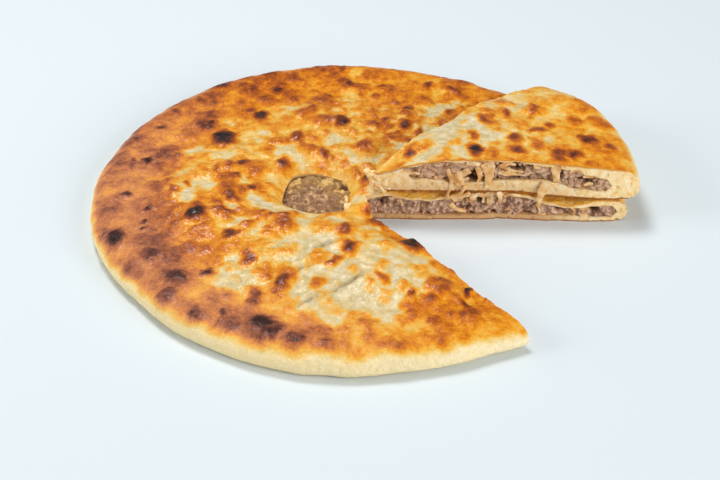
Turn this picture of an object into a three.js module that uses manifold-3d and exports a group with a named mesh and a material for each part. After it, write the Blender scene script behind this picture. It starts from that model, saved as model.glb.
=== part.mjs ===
// Ossetian pie: a round flatbread baked around a layer of minced meat and onion, with a steam vent in the
// middle of its crust. One slice has been cut out and laid on the pie, beside the gap that it left.
// Millimetres, +Z up. The origin is in the middle of the footprint, on the surface that the pie lies on.
import * as THREE from "three";
import { mergeVertices } from "three/addons/utils/BufferGeometryUtils.js";
import Module from "manifold-3d";

const wasm = await Module();
wasm.setup();

const { lerp, smoothstep, degToRad } = THREE.MathUtils;

// Driving dimensions of the pie. Plan positions are counted from the middle of the round pie.
const PIE_RADIUS = 161.5;
const PIE_MIDDLE = new THREE.Vector2(-2.25, 0);
const CROWN_THICKNESS = 21;
const RIM_THICKNESS = 17;
const CROWN_ENDS = { from: 0.45, to: 0.9 };

// The hand-shaped outline departs from a circle by a few slow waves: waves per turn, height, first crest.
const OUTLINE_WAVES = [
  { turns: 2, height: 2.7, crest: -29 },
  { turns: 3, height: 1.2, crest: 0 },
  { turns: 4, height: 0.6, crest: -6 },
  { turns: 5, height: 0.8, crest: -33 },
];

// The side of the rim: widest at a share of its height, rolled over on top and tucked in below.
const RIM_WIDEST_AT = 0.42;
const RIM_ROLL = 14;
const RIM_TUCK = 5;

// The walls of dough around the filling.
const BASE_DOUGH = 4.6;
const CRUST_DOUGH = 3.2;
const RIM_DOUGH = 12;
const RIM_DOUGH_WANDER = 3;
const FILLING_GAP = 0.35;

// The vent, and the hollow that its crust sinks into around it.
const VENT = new THREE.Vector2(-25, 3);
const VENT_RADIUS = 20.5;
const VENT_DIP = 6;
const VENT_DIP_ENDS = 46;
const VENT_RECESS = 1.6;

// The two knife cuts. The near one bends a little where it comes to the apex.
const APEX = new THREE.Vector2(4, -1.1);
const NEAR_CUT_BEND = new THREE.Vector2(9, -19.5);
const NEAR_CUT_ANGLE = -52.3;
const FAR_CUT_ANGLE = -1.3;
const CUT_REACH = 190;

// The slice that was lifted out, a little narrower than the gap, and where it lies now.
const SLICE_ANGLE = 47;
const SLICE_APEX = new THREE.Vector2(-0.8, -6.8);
const SLICE_SHIFT = new THREE.Vector2(5.5, -0.6);
const SLICE_GAP = 0.9;
const SLICE_TIP = { squashedTo: 0.66, ends: 46 };

// Relief: lumps of filling under the crust, crumb on the cut dough, crags on the cut meat.
const LUMP = { span: 30, height: 1.7 };
const CRUMB = { span: 9, height: 0.45 };
const CRAG = { span: 8, height: 1.5 };
const CRAG_FLATNESS = 0.6;
const SET_BACK = 0.6;

// Fineness of the facets.
const RIM_STEPS = { tuck: 2, roll: 5 };
const PIE_MESH = { around: 96, crust: 14, base: 1 };
const SLICE_MESH = { around: 168, crust: 16, base: 8 };
const FILLING_MESH = { around: 72, crust: 11, base: 1 };
const SLICE_FILLING_MESH = { around: 126, crust: 11, base: 8 };
const VENT_SIDES = 24;
const CUT_STEP = 7;
const CUT_ROWS = 8;
const CUT_HEIGHT = 36;
const CUT_BELOW = 5;

const DOUGH = new THREE.MeshStandardMaterial({ color: 0xd9953f, roughness: 0.55, metalness: 0 });
const MEAT = new THREE.MeshStandardMaterial({ color: 0x9b7762, roughness: 0.7, metalness: 0 });

// A number from -1 to 1 for each point of a lattice, the same on every run.
function latticeValue(i, j, seed) {
  let bits = Math.imul(i, 374761393) ^ Math.imul(j, 668265263) ^ Math.imul(seed, 974634721);
  bits = Math.imul(bits ^ (bits >>> 13), 1274126177);
  return ((bits ^ (bits >>> 16)) >>> 0) / 2 ** 31 - 1;
}

// Smooth noise between the points of that lattice.
function noise(x, y, seed) {
  const i = Math.floor(x);
  const j = Math.floor(y);
  const u = THREE.MathUtils.smootherstep(x - i, 0, 1);
  const v = THREE.MathUtils.smootherstep(y - j, 0, 1);
  const row = (k) => lerp(latticeValue(i, k, seed), latticeValue(i + 1, k, seed), u);
  return lerp(row(j), row(j + 1), v);
}

function outlineRadius(angle) {
  const wave = ({ turns, height, crest }) => height * Math.cos(turns * (angle - degToRad(crest)));
  return OUTLINE_WAVES.reduce((radius, each) => radius + wave(each), PIE_RADIUS);
}

// How far out a point is, from 0 in the middle to 1 on the outline.
function shareOut(x, y) {
  return Math.hypot(x, y) / outlineRadius(Math.atan2(y, x));
}

// The thickness of the pie without its lumps and its vent: thickest over the middle, falling to the rim.
function crownHeight(x, y) {
  return lerp(CROWN_THICKNESS, RIM_THICKNESS, smoothstep(shareOut(x, y), CROWN_ENDS.from, CROWN_ENDS.to));
}

// The lumps fade out on the rim, and are pressed flat where the lifted slice lies.
function crustLumps(x, y, underSlice) {
  const fade = 1 - smoothstep(shareOut(x, y), 0.7, 0.93);
  const lump = LUMP.height * fade * noise(x / LUMP.span, y / LUMP.span, 3);
  const angle = THREE.MathUtils.radToDeg(Math.atan2(y, x));
  const pressed = underSlice && angle > FAR_CUT_ANGLE - 5 && angle < FAR_CUT_ANGLE + SLICE_ANGLE + 5;
  return pressed ? Math.min(lump, 0) : lump;
}

function crustHeight(x, y, underSlice) {
  const fromVent = Math.hypot(x - VENT.x, y - VENT.y);
  const sunk = VENT_DIP * (1 - smoothstep(fromVent, VENT_RADIUS * 0.6, VENT_DIP_ENDS));
  return crownHeight(x, y) - sunk + crustLumps(x, y, underSlice);
}

// The top of the filling follows the crust. It lies open, and a little lower, in the vent.
function fillingHeight(x, y, underSlice) {
  const fromVent = Math.hypot(x - VENT.x, y - VENT.y);
  const open = 1 - smoothstep(fromVent, VENT_RADIUS - 2, VENT_RADIUS + 6);
  const crag = CRAG.height * 0.6 * open * noise(x / CRAG.span, y / CRAG.span, 11);
  return crustHeight(x, y, underSlice) - CRUST_DOUGH - VENT_RECESS * open + crag;
}

// Turns a unit section, whose points are (share out, share up), round the pie's axis, and moves each vertex
// to its place: reach gives the radius at an angle, and floor and top give the heights at a point.
function turnedSection(section, segments, reach, floor, top) {
  const geometry = new THREE.LatheGeometry(section, segments).rotateX(Math.PI / 2);
  const position = geometry.getAttribute("position");
  for (let n = 0; n < position.count; n += 1) {
    const angle = Math.atan2(position.getY(n), position.getX(n));
    const radius = Math.hypot(position.getX(n), position.getY(n)) * reach(angle);
    const x = radius * Math.cos(angle);
    const y = radius * Math.sin(angle);
    position.setXYZ(n, x, y, lerp(floor(x, y), top(x, y), position.getZ(n)));
  }
  return geometry;
}

// Points of a unit section from the axis out along the base, round the side, and back in along the top.
function unitSection(mesh, side) {
  const row = (length, out, up) => (
    Array.from({ length }, (_, n) => new THREE.Vector2((out * n) / length, up))
  );
  const base = row(mesh.base, side[0].x, 0);
  const crust = row(mesh.crust, side[side.length - 1].x, 1);
  return [...base, ...side, ...crust.reverse()];
}

// The side of the pie: a quarter ellipse tucked in to the base, and a larger one rolled over on top.
function rimSide() {
  const side = [];
  const quarter = (from, to, widthIn, heightFrom, heightTo, steps) => {
    for (let n = 0; n <= steps; n += 1) {
      const turn = lerp(from, to, n / steps);
      const out = 1 - (widthIn / PIE_RADIUS) * (1 - Math.cos(turn));
      side.push(new THREE.Vector2(out, lerp(heightFrom, heightTo, Math.abs(Math.sin(turn)))));
    }
  };
  quarter(-Math.PI / 2, 0, RIM_TUCK, RIM_WIDEST_AT, 0, RIM_STEPS.tuck);
  side.pop();
  quarter(0, Math.PI / 2, RIM_ROLL, RIM_WIDEST_AT, 1, RIM_STEPS.roll);
  return side;
}

// The edge of the filling: a blunt nose between the base dough and the crust.
function fillingSide() {
  return [new THREE.Vector2(0.95, 0), new THREE.Vector2(1, 0.45), new THREE.Vector2(0.94, 1)];
}

function wholePie(mesh, underSlice) {
  const top = (x, y) => crustHeight(x, y, underSlice);
  return solid(turnedSection(unitSection(mesh, rimSide()), mesh.around, outlineRadius, () => 0, top));
}

// The filling, or, with no inset, the room for it in the dough.
function wholeFilling(mesh, underSlice, inset) {
  const wander = (angle) => RIM_DOUGH_WANDER * noise(4 + 2 * Math.cos(angle), 4 + 2 * Math.sin(angle), 7);
  const reach = (angle) => outlineRadius(angle) - RIM_DOUGH + wander(angle) - inset;
  const floor = () => BASE_DOUGH + inset;
  const top = (x, y) => fillingHeight(x, y, underSlice) - inset;
  return solid(turnedSection(unitSection(mesh, fillingSide()), mesh.around, reach, floor, top));
}

// A closed geometry as a solid to join and cut, and a solid as a geometry again.
function solid(geometry) {
  const bare = geometry.index ? geometry.toNonIndexed() : geometry.clone();
  bare.deleteAttribute("normal");
  bare.deleteAttribute("uv");
  const merged = mergeVertices(bare, 1e-4);
  const vertProperties = merged.getAttribute("position").array;
  const triVerts = new Uint32Array(merged.index.array);
  return new wasm.Manifold(new wasm.Mesh({ numProp: 3, vertProperties, triVerts }));
}

function geometryOf(shape) {
  const mesh = shape.getMesh();
  const geometry = new THREE.BufferGeometry();
  geometry.setAttribute("position", new THREE.BufferAttribute(new Float32Array(mesh.vertProperties), 3));
  geometry.setIndex(new THREE.BufferAttribute(new Uint32Array(mesh.triVerts), 1));
  return geometry;
}

// A point on a ray from another point.
function along(from, angle, distance) {
  const way = new THREE.Vector2(Math.cos(degToRad(angle)), Math.sin(degToRad(angle)));
  return way.multiplyScalar(distance).add(from);
}

// An outline through the corners, with a point at every step along its sides.
function steppedOutline(corners) {
  const points = corners.flatMap((corner, n) => {
    const next = corners[(n + 1) % corners.length];
    const steps = Math.round(corner.distanceTo(next) / CUT_STEP);
    return Array.from({ length: steps }, (_, k) => corner.clone().lerp(next, k / steps));
  });
  return new THREE.Shape(points);
}

// Upright prism taller than the pie, with its walls roughened along and up.
function roughPrism(corners, rough, seed) {
  const options = { depth: CUT_HEIGHT, steps: CUT_ROWS, bevelEnabled: false };
  const geometry = new THREE.ExtrudeGeometry(steppedOutline(corners), options).translate(0, 0, -CUT_BELOW);
  const position = geometry.getAttribute("position");
  const push = (x, y, z, way) => {
    const up = z / (rough.span * CRAG_FLATNESS) + y / CUT_REACH;
    return rough.height * noise((x - y) / rough.span, up, seed + way);
  };
  for (let n = 0; n < position.count; n += 1) {
    const [x, y, z] = [position.getX(n), position.getY(n), position.getZ(n)];
    position.setXYZ(n, x + push(x, y, z, 0), y + push(x, y, z, 1), z);
  }
  return solid(geometry);
}

// The room that the two cuts leave open. The filling shrinks back from it by the set-back.
function gapPrism(setBack, rough, seed) {
  const apex = along(APEX, 135, setBack);
  const bend = along(NEAR_CUT_BEND, NEAR_CUT_ANGLE - 90, setBack);
  const nearEnd = along(bend, NEAR_CUT_ANGLE, CUT_REACH);
  const farEnd = along(along(APEX, FAR_CUT_ANGLE + 90, setBack), FAR_CUT_ANGLE, CUT_REACH);
  const outside = along(APEX, (NEAR_CUT_ANGLE + FAR_CUT_ANGLE) / 2, CUT_REACH * 1.2);
  return roughPrism([apex, bend, nearEnd, outside, farEnd], rough, seed);
}

// The part of the pie that was lifted out, with its tip where its two sides meet.
function slicePrism(setBack, rough, seed) {
  const middle = NEAR_CUT_ANGLE + SLICE_ANGLE / 2;
  const tip = along(SLICE_APEX, middle, setBack / Math.sin(degToRad(SLICE_ANGLE / 2)));
  const nearEnd = along(tip, NEAR_CUT_ANGLE, CUT_REACH);
  const farEnd = along(tip, NEAR_CUT_ANGLE + SLICE_ANGLE, CUT_REACH);
  return roughPrism([tip, nearEnd, along(tip, middle, CUT_REACH * 1.2), farEnd], rough, seed);
}

// The mouth of the vent, a hand-torn round.
function ventPrism() {
  const mouth = Array.from({ length: VENT_SIDES }, (_, n) => {
    const angle = (360 * n) / VENT_SIDES;
    const torn = 0.07 * Math.cos(degToRad(3 * angle - 40)) + 0.04 * Math.cos(degToRad(5 * angle + 70));
    return along(VENT, angle, VENT_RADIUS * (1 + torn));
  });
  const options = { depth: CUT_HEIGHT, bevelEnabled: false };
  const above = BASE_DOUGH + 2;
  return solid(new THREE.ExtrudeGeometry(new THREE.Shape(mouth), options).translate(0, 0, above));
}

// Turns the slice onto the pie, thins it to its tip, and lets it sag over the crown that it lies on.
function layOnPie(shape) {
  const turn = degToRad(FAR_CUT_ANGLE - NEAR_CUT_ANGLE);
  const tip = SLICE_APEX.clone().rotateAround(new THREE.Vector2(), turn).add(SLICE_SHIFT);
  const geometry = geometryOf(shape).rotateZ(turn).translate(SLICE_SHIFT.x, SLICE_SHIFT.y, 0);
  const position = geometry.getAttribute("position");
  for (let n = 0; n < position.count; n += 1) {
    const [x, y, z] = [position.getX(n), position.getY(n), position.getZ(n)];
    const fromTip = Math.hypot(x - tip.x, y - tip.y);
    const squash = lerp(SLICE_TIP.squashedTo, 1, smoothstep(fromTip, 0, SLICE_TIP.ends));
    position.setZ(n, z * squash + crownHeight(x, y) + SLICE_GAP);
  }
  return geometry;
}

function pieDough() {
  const room = wholeFilling(FILLING_MESH, true, 0);
  const cut = gapPrism(0, CRUMB, 21);
  return geometryOf(wholePie(PIE_MESH, true).subtract(room).subtract(ventPrism()).subtract(cut));
}

function pieFilling() {
  return geometryOf(wholeFilling(FILLING_MESH, true, FILLING_GAP).subtract(gapPrism(SET_BACK, CRAG, 31)));
}

function sliceDough() {
  const room = wholeFilling(SLICE_FILLING_MESH, false, 0);
  return layOnPie(wholePie(SLICE_MESH, false).subtract(room).intersect(slicePrism(0, CRUMB, 41)));
}

function sliceFilling() {
  const filling = wholeFilling(SLICE_FILLING_MESH, false, FILLING_GAP);
  return layOnPie(filling.intersect(slicePrism(SET_BACK, CRAG, 51)));
}

function named(name, geometry, material) {
  geometry.computeVertexNormals();
  const mesh = new THREE.Mesh(geometry, material);
  mesh.name = name;
  return mesh;
}

const pie = new THREE.Group();
pie.position.set(PIE_MIDDLE.x, PIE_MIDDLE.y, 0);
pie.add(named("pie_dough", pieDough(), DOUGH));
pie.add(named("pie_filling", pieFilling(), MEAT));

const slice = new THREE.Group();
slice.add(named("slice_dough", sliceDough(), DOUGH));
slice.add(named("slice_filling", sliceFilling(), MEAT));
pie.add(slice);

const root = new THREE.Group();
root.add(pie);

export default root;
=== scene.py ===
"""Looks of the Ossetian pie: blistered crust, torn crumb, minced meat and onion, with a slice laid on top.

Lengths are in millimetres until a mesh is made, and angles in degrees. Plan positions are counted from the
middle of the round pie, as in the solids: +X to the right in the photo, +Y away from the viewer, +Z up.
Most pairs of values say where something starts and ends, and pairs named OUT are shares of the way from the
middle to the rim. A wander has its span and its reach. A layer of noise has its height, its span, its
octaves and what is added to its seed.
"""
import math

import bmesh
import bpy
import numpy as np
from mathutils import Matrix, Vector


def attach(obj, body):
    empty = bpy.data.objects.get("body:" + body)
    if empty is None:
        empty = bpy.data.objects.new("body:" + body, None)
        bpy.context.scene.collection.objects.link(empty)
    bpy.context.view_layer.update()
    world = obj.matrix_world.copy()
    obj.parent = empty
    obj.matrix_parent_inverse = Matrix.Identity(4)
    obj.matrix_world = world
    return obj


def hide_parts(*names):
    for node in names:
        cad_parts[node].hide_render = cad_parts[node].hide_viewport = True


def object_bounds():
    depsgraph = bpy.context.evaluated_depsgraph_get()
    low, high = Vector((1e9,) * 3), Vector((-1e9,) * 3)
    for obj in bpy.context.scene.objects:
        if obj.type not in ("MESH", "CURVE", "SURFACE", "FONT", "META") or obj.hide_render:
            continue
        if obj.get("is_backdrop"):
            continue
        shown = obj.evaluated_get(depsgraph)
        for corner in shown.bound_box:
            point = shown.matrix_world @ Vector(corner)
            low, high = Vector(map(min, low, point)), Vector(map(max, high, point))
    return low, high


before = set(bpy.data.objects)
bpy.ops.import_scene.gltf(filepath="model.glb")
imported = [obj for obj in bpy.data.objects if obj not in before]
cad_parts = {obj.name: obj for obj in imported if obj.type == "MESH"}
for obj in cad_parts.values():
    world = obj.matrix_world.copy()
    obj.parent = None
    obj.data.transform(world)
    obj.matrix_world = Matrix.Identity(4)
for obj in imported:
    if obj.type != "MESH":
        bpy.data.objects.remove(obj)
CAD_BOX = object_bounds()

MM = 0.001
FAR_OFF = 99.0

# The whole pie. A wave of the outline has its number of turns, its height and the angle of a crest.
PIE_RADIUS = 161.5
PIE_MIDDLE = (-2.25, 0.0)
CROWN_THICKNESS = 21.0
RIM_THICKNESS = 17.0
CROWN_OUT = (0.45, 0.9)
OUTLINE_WAVES = ((2, 2.7, -29.0), (3, 1.2, 0.0), (4, 0.6, -6.0), (5, 0.8, -33.0))
LUMP_SPAN = 30.0
LUMP_HEIGHT = 1.7
LUMPS_OUT = (0.7, 0.93)
RIM_OUT = (0.62, 0.84)
RIM_WIDEST_AT = 0.42
RIM_ROLL = 14.0
RIM_TUCK = 7.0
RAGGED_RIM = 1.0
RAGGED_MEAN = 0.4
BACK_REACH = 2.4
BACK_REACH_SINE = (0.0, 0.7)
BACK_LIFT = 1.8
BACK_LIFT_OUT = (0.7, 0.95)
BACK_LIFT_AWAY = (40.0, 120.0)
FRONT_DRAWN_IN = 2.0
FRONT_SINE = (0.15, 0.6)
FRONT_RIGHT_COSINE = (0.45, 0.6)

# The vent
VENT = (-25.0, 3.0)
VENT_RADIUS = 20.5
VENT_WAVES = ((2, 0.85, -53.0), (3, 0.7, -59.0), (4, 1.15, 26.0))
VENT_TORN = 0.7
VENT_RECESS = 2.4
VENT_DIP = 6.0
VENT_DIP_STARTS = 0.6 * VENT_RADIUS
VENT_DIP_ENDS = 46.0
VENT_BACK_REACH = 3.0
VENT_BACK_SINE = (0.1, 0.9)
VENT_ROLL = 3.8
VENT_ROLL_FROM_LIP = (-1.0, 5.5)
VENT_ROLL_AT_BACK = 0.75
VENT_BACK_SKEW = 0.3
VENT_BACK_TURN = (0.1, 0.8)
LIP_RELIEF = 0.35
LIP_RELIEF_FROM_LIP = (3.0, 11.0)
VENT_CUT = (7.0, 40.0)
VENT_SIDES = 130

# The gap, with its two cuts, and how far the knife has pressed the crust down beside them
APEX = (4.0, -1.1)
NEAR_CUT_BEND = (9.0, -19.5)
NEAR_CUT_ANGLE = -52.3
FAR_CUT_ANGLE = -1.3
CUT_REACH = 190.0
CUT_LOW, CUT_HIGH = -2.0, 30.0
WAY_BACK_FROM_APEX = 135.0
FAR_CUT_PRESSED = 1.6
FAR_PRESSED_WIDE = 6.0
NEAR_CUT_PRESSED = 5.2
NEAR_PRESSED_WIDE = 13.0
NEAR_TIP_PRESSED = 2.0
NEAR_TIP_OUT = (0.7, 0.95)
BEND_PRESSED = 10.0
BEND_ENDS = 45.0
LIP_THINNING = 0.5
LIP_LONGEST = 6.0
LIP_SLOPE = 0.4
LIP_HEIGHTS = (8.0, 11.0)
KNIFE_WANDER = 0.9
KNIFE_SPAN = 26.0
KNIFE_ENDS = 8.0

# The lifted slice. Pairs named BACK are shares of the way round from its front side to its rear side.
SLICE_ANGLE = 47.0
SLICE_APEX = (-0.8, -6.8)
SLICE_LAID = (5.5, 1.6)
SLICE_TURN = FAR_CUT_ANGLE - NEAR_CUT_ANGLE
SLICE_GAP = 0.9
SLICE_COVER = 5.0
SLICE_UNDER_RELIEF = 0.4
SLICE_TIP_SQUASH = 0.66
SLICE_TIP_ENDS = 46.0
SLICE_SWELL = 1.8
SLICE_SWELL_OUT = (0.55, 0.8)
SLICE_LIFT = (2.6, 4.6)
SLICE_LIFT_OUT = (0.42, 0.56)
SLICE_LIFT_LOST = 0.7
SLICE_LIFT_LOST_OUT = (0.82, 0.95)
SLICE_LIFT_FROM_FRONT = (4.0, 50.0)
SLICE_STRETCH = 0.02
SLICE_STRETCH_OUT = (0.5, 1.0)
SLICE_STRETCH_BACK = (0.0, 1.0)
SLICE_CORNER_THINNED = 0.42
SLICE_CORNER_OUT = (0.74, 1.0)
SLICE_CORNER_BACK = (0.62, 1.0)
SLICE_PRESSED = 0.84
SLICE_PRESSED_WIDE = 4.5
SLICE_PRESSED_OUT = (0.5, 0.8)
SLICE_HIGHEST = 23.2
SLICE_TOP_SOFT = 2.0

# The photo's camera, fitted to the outline of the pie, and its frame in pixels
CAMERA_TARGET = (1.65, -24.8, 0.0)
CAMERA_DISTANCE = 1080.7
CAMERA_ELEVATION = math.radians(34.936)
CAMERA_LENS = 90.0
CAMERA_SENSOR = 36.0
PHOTO_SIZE = (720, 480)
PHOTO_FOCAL = CAMERA_LENS / CAMERA_SENSOR * PHOTO_SIZE[0]
SIGHT_ROUNDS = 5

# The dough round the filling
PIE_CRUST_DOUGH = 2.3
SLICE_CRUST_DOUGH = 1.3
RIM_CRUST_DOUGH = 4.2
SLICE_RIM_CRUST_DOUGH = 7.4
RIM_CRUST_OUT = (0.66, 0.9)
CLOSED_CRUST_DOUGH = 5.0
CLOSED_FROM_CUT = (6.0, 18.0)
LEAST_CRUST_DOUGH = 1.0
PIE_BASE_DOUGH = 3.0
PIE_BASE_WAVES = (0.8, 16.0, 3, 70)
SLICE_BASE_DOUGH = 5.2
SLICE_BASE_WAVES = (1.1, 15.0, 3, 90)
SLICE_BASE_SWELL_WIDE = 9.0
RIM_DOUGH = 12.0
RIM_DOUGH_WANDER = 3.0
FAR_CUT_FILLED = 5.5
SLICE_FRONT_CLOSED = 5.0
CLOSED_TURN = 0.13

# The filling
BLUNT_END = 3.5
BLUNT_AT = 0.45
FILLING_GAP = 0.3
THINNEST_FILLING = 1.2
PIE_LOOK_ROUND = 1.2
SLICE_LOOK_ROUND = 2.2
VENT_OPENS_BELOW = 4.0
VENT_OPENS = (VENT_RADIUS - 2, VENT_RADIUS + 6)
SLICE_FILLED = 0.8
SLICE_UNEVEN = 2.2
SLICE_UNEVEN_NOISE = (1.0, 7.0, 3, 95)
SLICE_UNEVEN_LEAST = -0.25
SLICE_UNEVEN_WIDE = 6.0

# How finely the meshes are divided
PIE_CRUST_GRID, SLICE_CRUST_GRID = 250, 340
PIE_FILLING_GRID, SLICE_FILLING_GRID, VENT_GRID = 90, 130, 110
RIM_ROLL_STEPS, RIM_TUCK_STEPS = 10, 5
CRUMB_STEP, MINCE_STEP = 0.75, 0.5
TORN_VOXEL, ONION_VOXEL = 0.45, 0.35
SPECK_POINTS = 60

# Where the lip of the far cut droops: length along the cut, half length, how deep, how far out of it
FAR_CUT_LIPS = ((34.0, 16.0, 0.9, 2.4), (120.0, 15.0, 0.6, 2.2))

# Where the slice's base swells in front: length along its front, half length, how high
SLICE_BASE_SWELLS = ((16.0, 26.0, 4.6), (84.0, 24.0, 3.0), (106.0, 10.0, 2.6))
SLICE_TIP_CLOSED = (11.0, 23.0)

# Blisters of the crust that stand out in the photo: pixel x, pixel y, half width, how dark from 0 to 1
PIE_BLISTERS = (
    # the back
    (222, 139, 9.0, 0.96), (260, 116, 6.0, 0.90), (341, 121, 5.0, 0.90), (211, 126, 4.0, 0.85),
    (161, 128, 3.5, 0.85), (299, 137, 5.0, 0.75), (323, 153, 5.0, 0.72), (407, 109, 4.5, 0.80),
    (428, 87, 4.0, 0.78), (451, 89, 4.0, 0.78), (405, 126, 5.0, 0.82), (388, 120, 4.0, 0.72),
    (243, 165, 4.0, 0.82), (284, 163, 4.5, 0.80), (254, 188, 3.5, 0.80), (231, 196, 5.0, 0.78),
    (342, 69, 4.0, 0.70), (344, 83, 6.0, 0.70), (377, 96, 5.0, 0.64), (366, 147, 8.0, 0.66),
    (176, 156, 4.0, 0.62), (229, 189, 6.0, 0.66), (188, 183, 2.5, 0.62), (167, 183, 3.5, 0.66),
    (170, 191, 5.0, 0.64), (216, 168, 4.0, 0.60),
    # the left rim
    (195, 213, 7.0, 0.95), (115, 238, 7.5, 0.95), (148, 163, 4.0, 0.92), (135, 161, 3.5, 0.82),
    (123, 196, 4.0, 0.88), (147, 208, 4.0, 0.88), (142, 221, 3.0, 0.86), (145, 228, 3.0, 0.86),
    (149, 256, 7.5, 0.82), (174, 278, 9.0, 0.84), (168, 296, 8.0, 0.78), (194, 316, 8.0, 0.82),
    # the front
    (262, 324, 8.0, 0.91), (271, 332, 8.0, 0.84), (206, 272, 4.5, 0.92), (221, 314, 4.0, 0.80),
    (254, 299, 6.0, 0.76), (247, 257, 5.0, 0.78), (295, 339, 6.5, 0.80), (322, 352, 8.5, 0.80),
    (231, 235, 5.0, 0.82), (281, 283, 7.0, 0.80), (284, 224, 7.0, 0.66), (317, 285, 4.5, 0.56),
    (396, 353, 8.0, 0.78),
    # beside the near cut
    (353, 249, 5.5, 0.86), (335, 261, 4.0, 0.76), (413, 245, 6.0, 0.97), (345, 230, 6.0, 0.70),
    (372, 223, 4.0, 0.74), (371, 209, 3.5, 0.64), (381, 276, 4.0, 0.60), (413, 294, 4.0, 0.68),
    (431, 300, 4.5, 0.70), (443, 290, 4.5, 0.68), (469, 293, 4.0, 0.92), (464, 305, 4.0, 0.76),
    (436, 321, 5.0, 0.64), (472, 314, 7.0, 0.70), (409, 310, 3.5, 0.60), (366, 324, 4.0, 0.62),
)
SLICE_BLISTERS = (
    (476, 149, 5.0, 0.93), (575, 154, 6.0, 0.82), (589, 141, 6.0, 0.82), (515, 138, 5.0, 0.72),
    (515, 148, 5.0, 0.78), (560, 154, 6.0, 0.74), (608, 147, 4.0, 0.74), (488, 120, 6.0, 0.70),
    (504, 114, 4.5, 0.72), (534, 110, 5.0, 0.72), (473, 135, 4.0, 0.64), (537, 130, 5.0, 0.68),
    (551, 126, 4.0, 0.70), (539, 143, 6.0, 0.60), (575, 121, 5.0, 0.62), (411, 151, 5.0, 0.72),
)

# Patches of even baking, some holding a painted sheen and some a painted shadow: pixel x, pixel y, half
# width, how far baked, how strongly. The palest are thin.
PIE_PATCHES = (
    # pale
    (352, 283, 46.0, 0.10, 0.95), (312, 248, 24.0, 0.13, 0.9), (400, 262, 18.0, 0.14, 0.8),
    (317, 304, 20.0, 0.09, 0.95), (230, 280, 24.0, 0.10, 0.95), (300, 216, 15.0, 0.22, 0.7),
    # The pale patches at (205, 147), (221, 149) and (232, 153), on pale skin in front of a dark blister, are
    # partly a painted sheen.
    (266, 203, 10.0, 0.17, 0.7), (221, 149, 13.0, 0.22, 0.7), (194, 183, 13.0, 0.17, 0.8),
    (308, 162, 9.0, 0.12, 0.9), (444, 106, 10.0, 0.10, 0.9), (428, 117, 10.0, 0.14, 0.9),
    (352, 76, 6.0, 0.24, 0.6), (354, 91, 7.0, 0.20, 0.7), (351, 102, 9.0, 0.14, 0.8),
    (340, 136, 9.0, 0.16, 0.8), (370, 137, 9.0, 0.10, 0.9), (351, 154, 7.0, 0.12, 0.8),
    (380, 159, 8.0, 0.10, 0.9), (446, 300, 8.0, 0.18, 0.8), (191, 191, 9.0, 0.06, 0.9),
    (207, 184, 8.0, 0.10, 0.8), (187, 176, 8.0, 0.14, 0.8), (229, 203, 6.0, 0.05, 0.9),
    (262, 201, 8.0, 0.08, 0.9), (275, 182, 8.0, 0.10, 0.9), (205, 147, 9.0, 0.13, 0.8),
    (232, 153, 12.0, 0.16, 0.8), (245, 178, 8.0, 0.20, 0.7), (290, 208, 9.0, 0.10, 0.8),
    # gold
    (168, 137, 12.0, 0.38, 0.8), (505, 322, 28.0, 0.41, 0.95), (476, 334, 16.0, 0.42, 0.7),
    (250, 230, 16.0, 0.38, 0.6), (320, 100, 20.0, 0.42, 0.5), (140, 185, 14.0, 0.45, 0.5),
    # brown
    (165, 262, 30.0, 0.64, 0.7), (225, 318, 26.0, 0.63, 0.7), (300, 335, 22.0, 0.58, 0.7),
    (130, 215, 22.0, 0.60, 0.6), (400, 350, 16.0, 0.56, 0.6), (455, 312, 16.0, 0.52, 0.5),
    # darker behind the slice: browner baking and a painted contact shadow
    (400, 145, 7.0, 0.58, 0.8), (412, 138, 7.0, 0.60, 0.8), (426, 131, 6.0, 0.60, 0.8),
    (438, 123, 5.0, 0.62, 0.8), (459, 111, 5.0, 0.62, 0.8), (472, 106, 6.0, 0.56, 0.8),
    (490, 98, 7.0, 0.52, 0.7),
    # round the vent
    (330, 160, 14.0, 0.44, 0.7), (275, 180, 9.0, 0.36, 0.6), (360, 165, 9.0, 0.50, 0.7),
    # torn dough between the vent and the cuts
    (375, 193, 6.0, 0.45, 0.9), (345, 213, 17.0, 0.27, 1.0), (355, 198, 6.0, 0.12, 0.9),
    (362, 179, 5.0, 0.62, 0.9),
)
SLICE_PATCHES = (
    (456, 137, 24.0, 0.08, 1.0), (480, 124, 18.0, 0.12, 0.9), (510, 122, 16.0, 0.20, 0.7),
    (436, 147, 13.0, 0.12, 0.9), (545, 99, 20.0, 0.20, 0.8), (519, 103, 16.0, 0.17, 0.8),
    (598, 150, 22.0, 0.46, 0.6), (557, 118, 18.0, 0.27, 0.7),
)

# Creases of the crust, each a line through pixels of the photo
PIE_CREASES = (
    ((296, 305), (330, 291), (363, 273)),
    ((317, 246), (337, 240)),
    ((296, 268), (330, 259)),
)

# Folds that stand up from the crust, in the same way
PIE_FOLDS = (
    ((326, 214), (345, 208), (366, 209)),
    ((330, 219), (348, 213), (364, 216)),
)

# Hollows between the clumps of meat in the cut faces: pixel x, pixel y, half width, half height, depth
SLICE_HOLLOWS = (
    (443, 162, 5.0, 2.0, 4.5), (508, 168, 10.0, 2.6, 4.0), (470, 175, 6.0, 3.0, 3.0),
    (529, 166, 3.0, 2.0, 3.5), (557, 173, 2.5, 4.5, 4.0), (480, 180, 9.0, 2.0, 4.0),
    (415, 181, 9.0, 1.6, 3.0), (580, 183, 8.0, 2.0, 3.0),
)
PIE_HOLLOWS = (
    (380, 201, 4.0, 3.5, 4.0), (478, 201, 6.0, 3.5, 5.0), (484, 194, 3.0, 2.0, 4.0),
    (594, 208, 3.0, 4.5, 5.0), (556, 210, 1.5, 1.5, 3.0), (464, 207, 6.0, 3.0, 3.0),
    (575, 209, 3.0, 4.0, 3.0), (523, 199, 7.0, 1.2, 2.5),
)

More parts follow.
